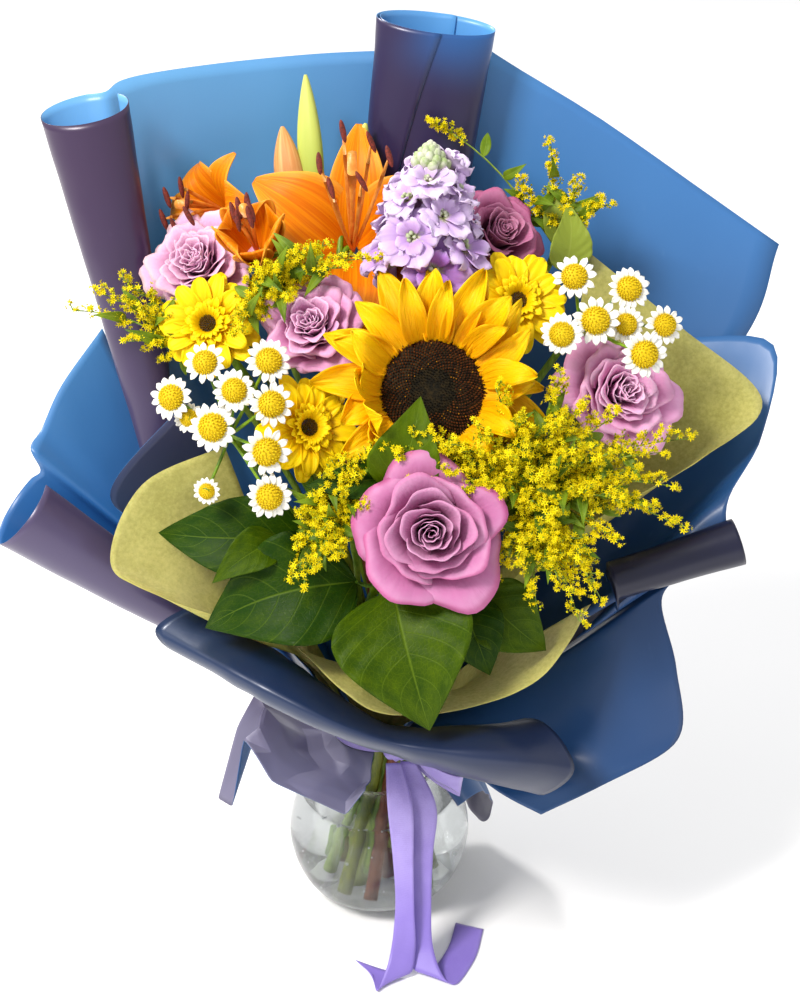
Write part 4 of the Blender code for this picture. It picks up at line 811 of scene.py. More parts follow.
def floret_cast(rays, ray_length, ray_width, heart, lift):
    """A star floret: narrow rays round a raised heart, one unit across its rays."""
    shape = bmesh.new()
    for k in range(rays):
        def ray(s, t):
            return Vector((s * ray_width * (1 - 0.7 * t), heart * 0.6 + ray_length * t, lift * math.sin(2.2 * t)))
        petal(shape, Matrix.Rotation(math.tau * k / rays, 4, "Z"), ray, 1, 1, 0.9)
    tone = shape.verts.layers.float["shade"]
    boss = bmesh.ops.create_cone(
        shape, segments=5, radius1=heart, radius2=heart * 0.4, depth=heart * 1.4, cap_ends=True,
        matrix=Matrix.Translation((0, 0, heart * 0.5)),
    )
    for corner in boss["verts"]:
        corner[tone] = 0.2
    return cast(shape)


goldenrod_gold, shader, cloth, across, along, shade = petal_wire(
    "goldenrod floret", Roughness=0.6, Subsurface_Weight=0.1, Subsurface_Radius=(0.002, 0.0015, 0.0005))
place = cloth.node("TexCoord", {}, output=3)
ripe = (place.grain(130.0, 3.0) * 0.7 + shade * 0.4).clear(0.30, 0.75)
cloth.plug(shader["Base Color"], ripe.tint((0.34, 0.36, 0.002), (0.86, 0.68, 0.001)))
relief(cloth, shader, place.grain(1500.0, 2.0), 0.4, 0.0004)
goldenrod_leaf, shader, cloth, across, along, shade = petal_wire(
    "goldenrod leaf", Roughness=0.5, Subsurface_Weight=0.06)
place = cloth.node("TexCoord", {}, output=3)
colour = place.grain(60.0, 3.0).clear(0.3, 0.7).tint((0.06, 0.12, 0.004), (0.17, 0.26, 0.010))
midrib = 1 - (across - 0.5).maths("ABSOLUTE", across - 0.5).clear(0.0, 0.03)
colour = shade.clear(0.6, 1.0).tint(colour, (0.25, 0.31, 0.035))
cloth.plug(shader["Base Color"], (midrib * 0.4).tint(colour, (0.36, 0.42, 0.08)))
relief(cloth, shader, place.grain(400.0, 3.0), 0.3, 0.0006)
goldenrod_twig = stalk_finish("goldenrod twig", (0.10, 0.20, 0.01), (0.30, 0.42, 0.04), (0.25, 0.28, 0.05))
gold_star = floret_cast(6, 0.66, 0.19, 0.26, 0.30)
gold_bud = bmesh.new()
bmesh.ops.create_icosphere(gold_bud, subdivisions=1, radius=0.34)
gold_bud = cast(gold_bud)


def bowed(start, end, bow, steps=9):
    """Points from start to end along a curve bowed by this vector."""
    return [start.lerp(end, k / steps) + bow * math.sin(math.pi * k / steps) for k in range(steps + 1)]


def plume(florets, twigs, blades, start, end, spread, rng, twig_count=11, dense=1.0, bare=0.18):
    """One plume: a main twig with side twigs that shorten to its tip, each crowded with florets on its top."""
    run = end - start
    main = bowed(start, end, FACE_UP * run.length * 0.10)
    rod(twigs, main, [0.0008 - 0.0005 * k / 9 for k in range(10)], 6)
    out = run.normalized()
    for k in range(4):
        root = spline(main, 0.10 + 0.16 * k)
        way = (out * 0.5 + Vector([rng.gauss(0, 1) for _ in range(3)]).normalized()).normalized()
        tip = root + way * rng.uniform(0.014, 0.024)
        leaf(blades, root, tip, 6.5, (FACE_OUT + way * 0.3).normalized(), seed=k, fine=(6, 12))
    for j in range(twig_count):
        t = bare + (1 - bare) * j / (twig_count - 1)
        root = spline(main, t)
        swing = rng.uniform(0, math.tau)
        across_run = (FACE_UP.cross(out).normalized() * math.cos(swing) + out.cross(FACE_UP.cross(out)).normalized()
                      * math.sin(swing) * 0.8)
        length = spread * (1.15 - 0.85 * t) * rng.uniform(0.7, 1.15)
        tip = root + (across_run * 0.85 + out * 0.75 + FACE_UP * 0.1).normalized() * length
        side_twig = bowed(root, tip, FACE_OUT * length * 0.12, 5)
        rod(twigs, side_twig, [0.00045, 0.0004, 0.0004, 0.0003, 0.0003, 0.0002], 5)
        for k in range(max(8, int(length / 0.00065 * dense))):
            f = rng.uniform(0.12, 1.04)
            at = spline(side_twig, min(f, 1.0))
            way = Vector([rng.gauss(0, 1) for _ in range(3)]) + FACE_OUT * 0.7 + out * 0.3
            way.normalize()
            size = rng.uniform(0.0019, 0.0029) * (1.08 - 0.35 * f)
            stand = rng.uniform(0.0010, 0.0048) * (1.1 - 0.6 * f)
            placement = aim(at + way * stand, way, rng.uniform(0, 6)) @ Matrix.Scale(size, 4)
            put(florets, gold_star if rng.random() < 0.8 else gold_bud, placement)


PLUMES_A_SPRAY = 12


def goldenrod(node, end, lean, radius, tips, spread, seed, broad=(), **habit):
    sprays, twigs, blades = [], bmesh.new(), bmesh.new()
    rng = random.Random(seed)
    stalk(twigs, node, face(*end), facing(*lean), radius * MM, 0.08, seed)
    for i, tip in enumerate(tips):
        bare = {"bare": tip[3]} if len(tip) > 3 else {}
        if i % PLUMES_A_SPRAY == 0:
            sprays.append(bmesh.new())
        plume(sprays[-1], twigs, blades, face(*end), face(*tip[:3]), spread * MM, rng, **habit, **bare)
    for base, tip, width, side in broad:
        leaf(blades, face(*base), face(*tip), width, facing(*side), shade=1.0, seed=seed)
        rod(twigs, bowed(face(*end), face(*base), FACE_OUT * -0.003, 6) + [face(*base).lerp(face(*tip), 0.1)],
            [0.0011] * 7 + [0.0006], 8)
    for i, florets in enumerate(sprays):
        piece(f"{node}_florets_{i + 1}", florets, [goldenrod_gold], "goldenrod", node)
    piece(node + "_twigs", twigs, [goldenrod_twig], "goldenrod", node)
    piece(node + "_blades", blades, [goldenrod_leaf], "leaf", node, thick=0.0003)


goldenrod("goldenrod_left", (-116, 80, 46), (-0.6, 0.2), 2.0, [
    (-186, 108, 64), (-158, 126, 62), (-154, 90, 68), (-172, 118, 64), (-146, 108, 70)], 17, 31)
goldenrod("goldenrod_upper", (-76, 113, 64), (-0.2, 0.6), 2.0, [
    (-88, 110, 88), (-66, 128, 94), (-40, 141, 98), (-14, 134, 92), (-80, 128, 88), (-54, 138, 92),
    (-30, 128, 98), (-92, 92, 90), (-60, 112, 96)], 15, 32)
goldenrod("goldenrod_upper_right", (92, 150, 18), (0.2, 0.8), 2.0, [
    (88, 208, 36), (122, 172, 40), (70, 186, 34), (104, 186, 34), (18, 221, 36, 0.72)], 15, 33,
    broad=[((96, 134, 30), (99, 173, 38), 27, (0.3, 0.1)), ((92, 152, 22), (88, 188, 24), 16, (0.1, 0.1))])
goldenrod("goldenrod_right", (72, -4, 86), (0.5, 0.1), 2.6, [
    (160, 34, 92), (156, -14, 94), (98, -66, 106), (84, 42, 116), (118, 46, 108), (128, 14, 106),
    (118, -22, 108), (80, -8, 120), (84, -38, 112), (52, 60, 116), (88, 68, 108), (-4, 26, 114), (30, 30, 122),
    (60, 22, 124), (100, 4, 118), (64, -34, 114), (46, -46, 104), (104, 28, 116), (44, 40, 122),
    (68, 44, 118), (100, 52, 112), (136, -4, 102), (142, 26, 102), (106, -44, 108), (8, 8, 116), (74, -54, 108),
    (90, -48, 110), (110, -54, 104), (120, 0, 112), (148, 8, 98), (110, 24, 116), (92, 26, 118), (76, 12, 122),
    (24, 16, 120), (38, 6, 120), (98, -30, 112), (-8, 32, 116), (8, 34, 118), (22, 30, 120), (0, 22, 120),
    (54, 2, 118), (66, 30, 120)], 22, 34, twig_count=12)
goldenrod("goldenrod_front_left", (-34, -8, 84), (-0.3, -0.2), 2.0, [
    (-52, -44, 112), (-40, -14, 116), (-24, 14, 112), (-56, -24, 106), (-34, -30, 116), (-46, 0, 110),
    (-10, 30, 116), (-30, 22, 110), (-58, -42, 106), (-44, -34, 118), (-54, -8, 110), (-30, 4, 118),
    (-20, -4, 116), (-40, 14, 112)], 17, 35)


# The daisies: two sprays of small white matricaria on thin green stalks, each a ring of short blunt rays round a
# big greenish-yellow dome of tiny packed florets.

DAISY_RADIUS, DAISY_DOME = 0.0125, 0.0078

daisy_white, shader, cloth, across, along, shade = petal_wire(
    "daisy ray", Roughness=0.55, Subsurface_Weight=0.15, Subsurface_Radius=(0.002,) * 3)
groove = cloth.grain(9.0, 2.0, (1, 0.06, 1))
cloth.plug(shader["Base Color"], (along.clear(0.0, 0.35) * 0.9 + groove * 0.1).tint((0.62, 0.64, 0.35), (0.89, 0.88, 0.84)))
relief(cloth, shader, groove, 0.4, 0.0005)
daisy_yellow, shader, cloth, across, along, shade = petal_wire(
    "daisy dome", Roughness=0.65, Subsurface_Weight=0.1, Subsurface_Radius=(0.002, 0.0015, 0.0005))
fresh = (shade + cloth.node("TexCoord", {}, output=3).grain(600.0, 2.0) * 0.3).clear(0.2, 1.1)
cloth.plug(shader["Base Color"], fresh.tint((0.70, 0.50, 0.008), (0.50, 0.50, 0.03)))
relief(cloth, shader, cloth.node("TexCoord", {}, output=3).grain(2600.0, 2.0), 0.3, 0.0004)

dome_floret = bmesh.new()
dome_floret.loops.layers.uv.new("grain")
dome_floret.verts.layers.float.new("shade")
bmesh.ops.create_cone(dome_floret, cap_ends=True, segments=6, radius1=0.5, radius2=0.30, depth=0.9)
dome_floret = cast(dome_floret)


def daisy(rays, domes, placement, size, rng):
    """One daisy head: rays that droop a little, and a dome of packed florets."""
    count = rng.randint(13, 17)
    for k in range(count):
        droop, twist, long = rng.uniform(-0.05, 0.5), rng.uniform(-0.3, 0.3), rng.uniform(0.88, 1.06)

        def ray(s, t):
            half = 0.16 * size * (math.sin(math.pi * min(t * 0.62 + 0.20, 1)) - 0.25 * max(0, t - 0.8) * 4 * abs(s))
            return Vector((
                half * s, size * (0.48 + 0.54 * long * t - 0.05 * t ** 3 * abs(s) ** 2),
                size * (0.10 * math.sin(2 * t) - droop * 0.30 * t ** 2 + 0.05 * s * s + twist * s * 0.15),
            ))
        petal(rays, placement @ Matrix.Rotation(math.tau * (k + rng.uniform(-0.2, 0.2)) / count, 4, "Z"), ray, 4, 5)
    high = DAISY_DOME / DAISY_RADIUS * size
    base = bmesh.new()
    bmesh.ops.create_icosphere(base, subdivisions=2, radius=1.0)
    put(domes, cast(base), placement @ Matrix.Diagonal((high * 0.90, high * 0.90, high * 0.80, 1)))
    seeds = 96
    for k in range(seeds):
        f = math.sqrt((k + 0.5) / seeds)
        slope = f * 1.5
        at = Vector((high * math.sin(slope) * 0.92, 0, high * math.cos(slope) * 0.80 + size * 0.02))
        turn = Matrix.Rotation(k * 2.39996, 4, "Z") @ Matrix.Translation(at) @ Matrix.Rotation(slope, 4, "Y")
        put(domes, dome_floret, placement @ turn @ Matrix.Scale(size * 0.095, 4))


def daisies(node, end, lean, radius, middle, heads, seed):
    rays, domes, stalks = bmesh.new(), bmesh.new(), bmesh.new()
    rng = random.Random(seed)
    stalk(stalks, node, face(*end), facing(*lean), radius * MM, 0.05, seed)
    for across_face, up_face, out, size in heads:
        direction = facing((across_face - middle[0]) * 0.008, (up_face - middle[1]) * 0.006)
        head = face(across_face, up_face, out)
        daisy(rays, domes, aim(head, direction, rng.uniform(0, 6)), DAISY_RADIUS * size, rng)
        start = face(*end)
        bend = start.lerp(head, 0.55) - direction * (head - start).length * 0.22
        curve = [start * (1 - t) ** 2 + bend * 2 * t * (1 - t) + (head + direction * 0.002) * t * t
                 for t in (k / 9 for k in range(10))]
        rod(stalks, curve, [0.0011 - 0.0003 * k / 9 for k in range(9)] + [0.0030], 8)
    piece(node + "_rays", rays, [daisy_white], "daisy", node, thick=0.0003)
    piece(node + "_domes", domes, [daisy_yellow], "daisy", node)
    piece(node + "_stalks", stalks, [stem_green], "stem", node)


daisies("daisies_left", (-95, 36, 86), (-0.1, 0.1), 2.2, (-92, 45), [
    (-127, 57, 88, 1.0), (-108, 76, 92, 0.95), (-103, 40, 100, 1.08), (-91, 60, 102, 0.95), (-72, 76, 104, 1.0),
    (-70, 52, 112, 1.0), (-72, 26, 120, 1.05), (-71, 2, 114, 1.0), (-107, 5, 92, 0.62), (-118, 46, 84, 0.7)], 41)
daisies("daisies_right", (101, 98, 80), (0.2, 0.2), 2.2, (112, 100), [
    (97, 124, 88, 1.0), (108, 99, 96, 1.08), (128, 118, 82, 0.98), (134, 80, 102, 1.05), (89, 91, 101, 0.95),
    (148, 98, 80, 0.9), (126, 98, 84, 0.85)], 42)


# The stock: one thick pale spike of ruffled lilac florets round its top, each with a pale green eye, and a head
# of closed green-white buds.

stock_lilac, shader, cloth, across, along, shade = petal_wire(
    "stock floret", Roughness=0.6, Subsurface_Weight=0.15, Subsurface_Radius=(0.003,) * 3)
lines = cloth.grain(12.0, 3.0, (1, 0.1, 1))
petal_face = shade.tint((0.36, 0.13, 0.52), (0.66, 0.50, 0.76))
colour = (along + (lines - 0.5) * 0.4).clear(0.04, 0.30).tint((0.62, 0.66, 0.30), petal_face)
cloth.plug(shader["Base Color"], ((along + shade * 0.5 + (lines - 0.5) * 0.4).clear(0.6, 1.4) * 0.75).tint(
    colour, (0.78, 0.66, 0.86)))
relief(cloth, shader, lines, 0.4, 0.0007)
stock_bud_green, wire, shader = finish("stock bud", Roughness=0.6)
place = wire.node("TexCoord", {}, output=3)
wire.plug(shader["Base Color"], place.grain(220.0, 3.0).clear(0.3, 0.7).tint((0.32, 0.42, 0.16), (0.62, 0.62, 0.50)))
relief(wire, shader, place.grain(700.0), 0.3, 0.0006)


def ruffled(shape, buds, placement, size, height, rng):
    """A double floret: two rings of broad crimped petals and a green-white eye of buds. High ones are paler."""
    shade = min(1.0, 0.85 * height + rng.uniform(0.0, 0.35))
    for k in range(10):
        inner = k > 5
        long = size * (rng.uniform(0.50, 0.70) if inner else rng.uniform(0.85, 1.10))
        curl, phase, raised = rng.uniform(-0.3, 0.6), rng.uniform(0, 6), 0.70 if inner else 0.20

        def blade(s, t):
            half = long * 0.62 * (0.14 + 0.86 * t ** 0.8) * math.sqrt(max(0.0, 1.12 - t ** 4))
            notch = 0.10 * math.exp(-(s * 3) ** 2) * t ** 4
            crimp = (0.12 * math.sin(s * 4 + phase) + 0.04 * math.sin(s * 11 + 2 * phase)) * t ** 2
            return Vector((half * s, long * (0.06 + t * (0.98 - notch - 0.20 * s * s)),
                           long * (raised * math.sin(1.8 * t) - curl * t * t * 0.5 + crimp)))
        turn = Matrix.Rotation(math.tau * k / (5 if inner else 6) + rng.uniform(-0.25, 0.25), 4, "Z")
        petal(shape, placement @ turn, blade, 10, 8, shade - 0.1 * inner)
    for k in range(6):
        at = Vector((rng.uniform(-0.14, 0.14) * size, rng.uniform(-0.14, 0.14) * size, size * rng.uniform(0.10, 0.26)))
        bmesh.ops.create_icosphere(buds, subdivisions=1, radius=size * 0.075, matrix=placement @ Matrix.Translation(at))


rng = random.Random(51)
spike = aim(face(14, 126, 64), facing(0.1, 2.4))
lilac_florets, lilac_buds = bmesh.new(), bmesh.new()
SPIKE_HEIGHT = 0.076
for k in range(17):
    f = (k + 0.5) / 17
    ring = 0.0205 - 0.0115 * f ** 1.8 + rng.uniform(-0.003, 0.004)
    at = Matrix.Rotation(k * 2.39996, 4, "Z") @ Matrix.Translation((ring, 0, SPIKE_HEIGHT * (0.02 + 0.82 * f)))
    tilt = math.radians(74 - 30 * f + rng.uniform(-20, 20))
    ruffled(lilac_florets, lilac_buds, spike @ at @ Matrix.Rotation(tilt, 4, "Y") @ Matrix.Rotation(
        rng.uniform(0, 6), 4, "Z"), 0.0208 * (1.05 - 0.30 * f), f, rng)
for k in range(30):
    f = k / 29
    ring = 0.0078 * (1 - f) ** 0.7
    at = Matrix.Rotation(k * 2.39996, 4, "Z") @ Matrix.Translation((ring, 0, SPIKE_HEIGHT * (0.85 + 0.15 * f)))
    lean = Matrix.Rotation(0.9 * (1 - f), 4, "Y") @ Matrix.Diagonal((1, 1, 1.6, 1))
    bmesh.ops.create_icosphere(lilac_buds, subdivisions=2, radius=0.0033 - 0.0010 * f, matrix=spike @ at @ lean)
rod(lilac_buds, [spike @ Vector((0, 0, SPIKE_HEIGHT * k / 8)) for k in range(9)], [0.0050 - 0.0004 * k for k in range(9)])
piece("stock_ruffles", lilac_florets, [stock_lilac], "stock_petal", "stock_florets", thick=0.0003)
piece("stock_buds", lilac_buds, [stock_bud_green], "stock_petal", "stock_florets")


# The lily: one stem with two open orange blooms, a half-open one and three long buds. The tepals are thick,
# grooved down the middle and veined; the open blooms carry red-brown anthers round a stout orange pistil.

lily_orange, shader, cloth, across, along, shade = petal_wire(
    "lily tepal", Roughness=0.42, Subsurface_Weight=0.15, Subsurface_Radius=(0.004, 0.002, 0.001))
veins = cloth.grain(26.0, 3.0, (1, 0.03, 1))
from_middle = (across - 0.5).maths("ABSOLUTE", across - 0.5)
colour = (veins.clear(0.35, 0.7) * 0.7 + shade * 0.3).tint((0.66, 0.135, 0.001), (0.87, 0.31, 0.002))
colour = (from_middle.clear(0.34, 0.5) * 0.6).tint(colour, (0.90, 0.44, 0.05))
specks = cloth.node("TexVoronoi", {"Vector": cloth.node("Mapping", {"Vector": cloth, "Scale": (1, 2.2, 1)}),
                                   "Scale": 26.0})
dots = (1 - specks.clear(0.06, 0.16)) * (1 - along.clear(0.15, 0.55))
cloth.plug(shader["Base Color"], (dots * 0.7).tint(colour, (0.16, 0.03, 0.01)))
relief(cloth, shader, veins, 0.45, 0.001)

lily_bud_skin, shader, cloth, across, along, shade = petal_wire(
    "lily bud", Roughness=0.45, Subsurface_Weight=0.1, Subsurface_Radius=(0.003, 0.002, 0.001))
veins = cloth.grain(20.0, 3.0, (1, 0.05, 1))
green = (along + veins * 0.3 - 0.15).clear(0.0, 1.0).tint((0.40, 0.50, 0.08), (0.56, 0.60, 0.14))
peach = veins.clear(0.4, 0.7).tint((0.60, 0.26, 0.08), (0.78, 0.46, 0.18))
cloth.plug(shader["Base Color"], shade.tint(green, peach))
relief(cloth, shader, veins, 0.3, 0.0008)
lily_dark, wire, shader = finish("lily anther", Roughness=0.75)
place = wire.node("TexCoord", {}, output=3)
wire.plug(shader["Base Color"], place.grain(900.0, 2.0).clear(0.3, 0.7).tint((0.07, 0.005, 0.002), (0.20, 0.018, 0.005)))
relief(wire, shader, place.grain(2500.0, 2.0), 0.6, 0.0004)


def tepal_line(t, length, flare, cupped):
    """How far out from the bloom's axis and how high along it a tepal's middle runs. A cupped one bends back in."""
    reach = 0.0035 + length * (flare * t + 0.25 * (1 - cupped) * t * t + 0.17 * cupped * math.sin(math.pi * t))
    high = length * (0.62 * math.sin(2 * t) - 0.16 * t ** 3) * (1.25 - flare)
    return reach, high


def lily_bloom(name, node, place, lean, length, flare, turn, seed, cupped=0.0, rising=0.0):
    rng = random.Random(seed)
    tepals, inside = bmesh.new(), bmesh.new()
    placement = aim(face(*place), facing(*lean), turn)
    for k in range(6):
        outer = k % 2
        width = length * (0.23 if outer else 0.32)
        curl, twist, wave = rng.uniform(-0.05, 0.10), rng.uniform(-0.12, 0.12), rng.uniform(0, 6)

        def tepal(s, t):
            reach, high = tepal_line(t, length, flare + 0.04 * outer, cupped)
            half = width * math.sin(math.pi * (0.10 + 0.88 * t ** 0.85)) ** 0.8
            cup = 0.20 * half * (s * s - 0.3) - 0.10 * half * math.exp(-(s * 5) ** 2)
            back = curl * length * t ** 4
            ripple = 0.05 * width * math.sin(8 * t + wave) * abs(s) ** 2 * t
            return Vector((half * s + twist * half * t, reach, high + cup * (1 - 0.3 * t) - back + ripple))
        petal(tepals, placement @ Matrix.Rotation(math.tau * k / 6, 4, "Z"), tepal, 14, 26, rng.uniform(0.2, 1))
    anthers = bmesh.new()
    for k in range(6):
        lean_out = rng.uniform(0.16, 0.30) * (1 - 0.6 * cupped)
        way = Matrix.Rotation(math.tau * (k + 0.5) / 6 + rng.uniform(-0.2, 0.2), 4, "Z")
        points = [placement @ way @ Vector((0, length * lean_out * (t * 0.6 + t * t * 0.4), length * 0.86 * t + 0.002))
                  + FACE_UP * rising * length * t * t for t in (j / 8 for j in range(9))]
        rod(inside, points, [0.0011] * 8 + [0.0005], 8)
        hanging = FACE_UP + RIGHT * rng.uniform(-0.6, 0.2) + FACE_OUT * rng.uniform(-0.2, 0.5)
        tip = Matrix.Translation(points[-1]) @ hanging.to_track_quat("Z", "Y").to_matrix().to_4x4()
        bmesh.ops.create_icosphere(anthers, subdivisions=3, radius=0.0066, matrix=tip @ Matrix.Diagonal((0.27, 0.22, 1, 1)))
    piece(name + "_anthers", anthers, [lily_dark], "lily_petal", node)
    points = [placement @ Vector((0, 0, length * 0.93 * t)) + FACE_UP * (rising + 0.05) * length * t * t
              for t in (j / 8 for j in range(9))]
    rod(inside, points, [0.0015, 0.0014, 0.0013, 0.0013, 0.0013, 0.0014, 0.0018, 0.0030, 0.0026], 12)
    piece(name + "_pistil", inside, [stamen_orange], "lily_petal", node)
    piece(name + "_tepals", tepals, [lily_orange], "lily_petal", node, thick=0.0008, rounds=1)


stamen_orange, wire, shader = finish("lily filament", Roughness=0.4, Subsurface_Weight=0.1)
place = wire.node("TexCoord", {}, output=3)
wire.plug(shader["Base Color"], place.grain(160.0).clear(0.3, 0.7).tint((0.72, 0.20, 0.02), (0.86, 0.36, 0.06)))
relief(wire, shader, place.grain(900.0), 0.2, 0.0004)

lily_bloom("lily_main", "lily_bloom_main", (-28, 148, 16), (0.02, 0.15), 0.075, 0.62, 1.0, 61, rising=0.42)
lily_bloom("lily_left", "lily_bloom_left", (-103, 172, 6), (-0.85, 0.15), 0.045, 0.42, 0.5, 62, rising=-0.15)
lily_bloom("lily_half_open", "lily_bloom_half_open", (-81, 140, 48), (-0.15, 0.50), 0.050, 0.14, 0.2, 63, cupped=1.0)

lily_green, lily_buds = bmesh.new(), bmesh.new()
lily_end, lily_lean = face(-36, 140, 22), facing(-0.10, 0.35)
stalk(lily_green, "lily_stem", lily_end - lily_lean * 0.016, lily_lean, 0.0040, 0.1, 64)
for base, tip, fat, peachy in (
    ((-62, 172, 12), (-70, 222, 14), 8.5, 1.0), ((-50, 170, 10), (-56, 252, 18), 7.5, 0.0),
    ((-34, 180, 12), (-20, 222, 24), 7.0, 0.0),
):
    base, tip = face(*base), face(*tip)
    run = tip - base
    length = run.length
    placement = Matrix.Translation(base) @ run.to_track_quat("Z", "Y").to_matrix().to_4x4()

    def bud_side(s, t):
        around = math.pi * s
        ridge = 1 + 0.10 * math.cos(3 * around) * math.sin(math.pi * t)
        radius = fat * MM * ridge * math.sin(math.pi * (0.08 + 0.90 * t ** 0.9)) ** 0.75
        return Vector((radius * math.cos(around), radius * math.sin(around), length * t))
    petal(lily_buds, placement, bud_side, 36, 30, peachy)
    rod(lily_green, bowed(lily_end, base + run * 0.04, FACE_UP * 0.004, 8), [0.0020] * 9, 10)
for place in ((-28, 148, 16), (-103, 172, 6), (-81, 140, 48)):
    rod(lily_green, bowed(lily_end, face(*place), FACE_UP * 0.004, 8), [0.0022] * 9, 10)
bmesh.ops.remove_doubles(lily_buds, verts=lily_buds.verts[:], dist=1e-5)
piece("lily_buds", lily_buds, [lily_bud_skin], "lily_petal", "lily_stem")
piece("lily_branches", lily_green, [stem_green], "stem", "lily_stem")


# The gerberas: three bright yellow ones, each two rows of blunt grooved rays, a ring of short inner rays, and a
# small dark brown heart.

GERBERA_RADIUS = 0.0305

gerbera_yellow, shader, cloth, across, along, shade = petal_wire(
    "gerbera ray", Roughness=0.5, Subsurface_Weight=0.15, Subsurface_Radius=(0.003, 0.002, 0.0008))
groove = cloth.grain(8.0, 2.0, (1, 0.04, 1))
colour = (along.clear(0.0, 0.8) * 0.7 + shade * 0.4).tint((0.84, 0.46, 0.0), (0.94, 0.68, 0.002))
cloth.plug(shader["Base Color"], (groove.clear(0.5, 0.7) * 0.25).tint(colour, (0.82, 0.40, 0.0)))
relief(cloth, shader, groove, 0.5, 0.0008)
gerbera_brown, shader, cloth, across, along, shade = petal_wire("gerbera heart", Roughness=0.7)
place = cloth.node("TexCoord", {}, output=3)
cloth.plug(shader["Base Color"], (shade * 0.8 + place.grain(800.0, 2.0) * 0.4).clear(0.2, 0.9).tint(
    (0.120, 0.060, 0.006), (0.55, 0.42, 0.02)))
relief(cloth, shader, place.grain(2000.0, 2.0), 0.5, 0.0004)


def heart(shape, placement, small, radius, count, high, dark_middle, rng, scale):
    """A packed heart of florets in their spirals, nearly level within dark_middle of its radius and sloping down
    outside.
    """
    for k in range(count):
        f = math.sqrt((k + 0.5) / count)
        lift = high * (1 - 0.75 * f * f) if f > dark_middle else high * (0.75 + 0.12 * f)
        at = Matrix.Translation((radius * f, 0, lift)) @ Matrix.Rotation(0.7 * f, 4, "Y")
        size = scale * rng.uniform(0.85, 1.15)
        put(shape, small, placement @ Matrix.Rotation(k * 2.39996, 4, "Z") @ at @ Matrix.Diagonal(
            (size, size, size * rng.uniform(1.0, 1.9), 1)))


def gerbera(node, place, lean, stem_radius, seed):
    rng = random.Random(seed)
    shape = bmesh.new()
    placement = aim(face(*place), facing(*lean), rng.uniform(0, 6))
    for row, (count, low, long, rise, width) in enumerate((
        (15, 0.006, 1.0, 0.05, 0.20), (13, 0.006, 0.93, 0.20, 0.18), (13, 0.005, 0.50, 0.42, 0.09),
        (22, 0.0045, 0.36, 0.62, 0.05),
    )):
        for k in range(count):
            droop, length = rng.uniform(-0.12, 0.14), GERBERA_RADIUS * long * rng.uniform(0.86, 1.06)

            def ray(s, t):
                half = GERBERA_RADIUS * width * math.sin(math.pi * (0.16 + 0.72 * t)) ** 0.6
                tip = 0.05 * GERBERA_RADIUS * t ** 6 * abs(s) ** 2
                fluted = 0.10 * half * math.cos(s * 6.3) + 0.20 * half * s * s
                return Vector((half * s, low + (length - low) * t - tip, 0.0015 * row + length * (
                    rise * math.sin(1.9 * t) - droop * t * t) + fluted))
            turn = math.tau * (k + 0.5 * row + rng.uniform(-0.18, 0.18)) / count
            petal(shape, placement @ Matrix.Rotation(turn, 4, "Z"), ray, 8, 10, rng.uniform(0.2, 1))
    piece(node + "_rays", shape, [gerbera_yellow], "gerbera_petal", node, thick=0.0004)
    middle = bmesh.new()
    heart(middle, placement @ Matrix.Translation((0, 0, 0.003)), dome_floret, 0.0066, 130, 0.004, 0.5, rng, 0.0011)
    piece(node + "_heart", middle, [gerbera_brown], "gerbera_petal", node)


gerbera("gerbera_left", (-108, 99, 65), (-0.15, 0.15), 2.6, 71)
gerbera("gerbera_low", (-53, 40, 84), (0.50, 0.10), 2.6, 72)
gerbera("gerbera_right", (66, 112, 66), (0.15, 0.15), 2.6, 73)


# The roses: five, from a full mauve one at the front to dusky ones at the back. Each is a tight spiral bud
# inside broader and broader petals, whose thin rims roll outward.


def rose_finish(name, deep, body, pale, edge):
    """Rose petal skin: deep at its foot, which is painted shade down inside the flower, pale over its face, tinged at
    the rim, with faint branching veins.
    """
    material, shader, cloth, across, along, shade = petal_wire(
        name, Roughness=0.6, Sheen_Weight=0.06, Subsurface_Weight=0.20, Subsurface_Radius=(0.004, 0.002, 0.003))
    veins = cloth.grain(14.0, 4.0, (1, 0.18, 1))
    blush = cloth.node("TexCoord", {}, output=3).grain(60.0, 2.0)
    reach = along + (blush - 0.5) * 0.35 + (0.5 - shade) * 0.25
    # Painted shade: the deep colour at each petal's foot stands for the shade inside the flower; inner petals are held
    # paler.
    colour = reach.clear(0.25, 0.85).tint(deep, body)
    colour = (reach.clear(0.70, 1.05) * 0.7).tint(colour, pale)
    rim = along.clear(0.93, 1.0) * shade.clear(0.55, 0.9)
    colour = (rim * 0.6).tint(colour, edge)
    wire_out = (veins.clear(0.55, 0.75) * 0.10).tint(colour, deep)
    cloth.plug(shader["Base Color"], wire_out)
    relief(cloth, shader, veins + cloth.grain(5.0, 4.0, (1, 0.5, 1)) * 1.5, 0.45, 0.0016)
    return material


mauve = rose_finish("mauve rose", (0.46, 0.085, 0.27), (0.50, 0.180, 0.36), (0.68, 0.38, 0.56), (0.50, 0.03, 0.21))
lilac = rose_finish("lilac rose", (0.60, 0.17, 0.40), (0.74, 0.34, 0.58), (0.86, 0.58, 0.76), (0.62, 0.26, 0.42))
blush_pink = rose_finish("blush rose", (0.62, 0.24, 0.46), (0.77, 0.41, 0.62), (0.85, 0.58, 0.73), (0.78, 0.56, 0.44))
dusky = rose_finish("dusky rose", (0.25, 0.035, 0.12), (0.45, 0.125, 0.26), (0.60, 0.27, 0.41), (0.52, 0.05, 0.20))


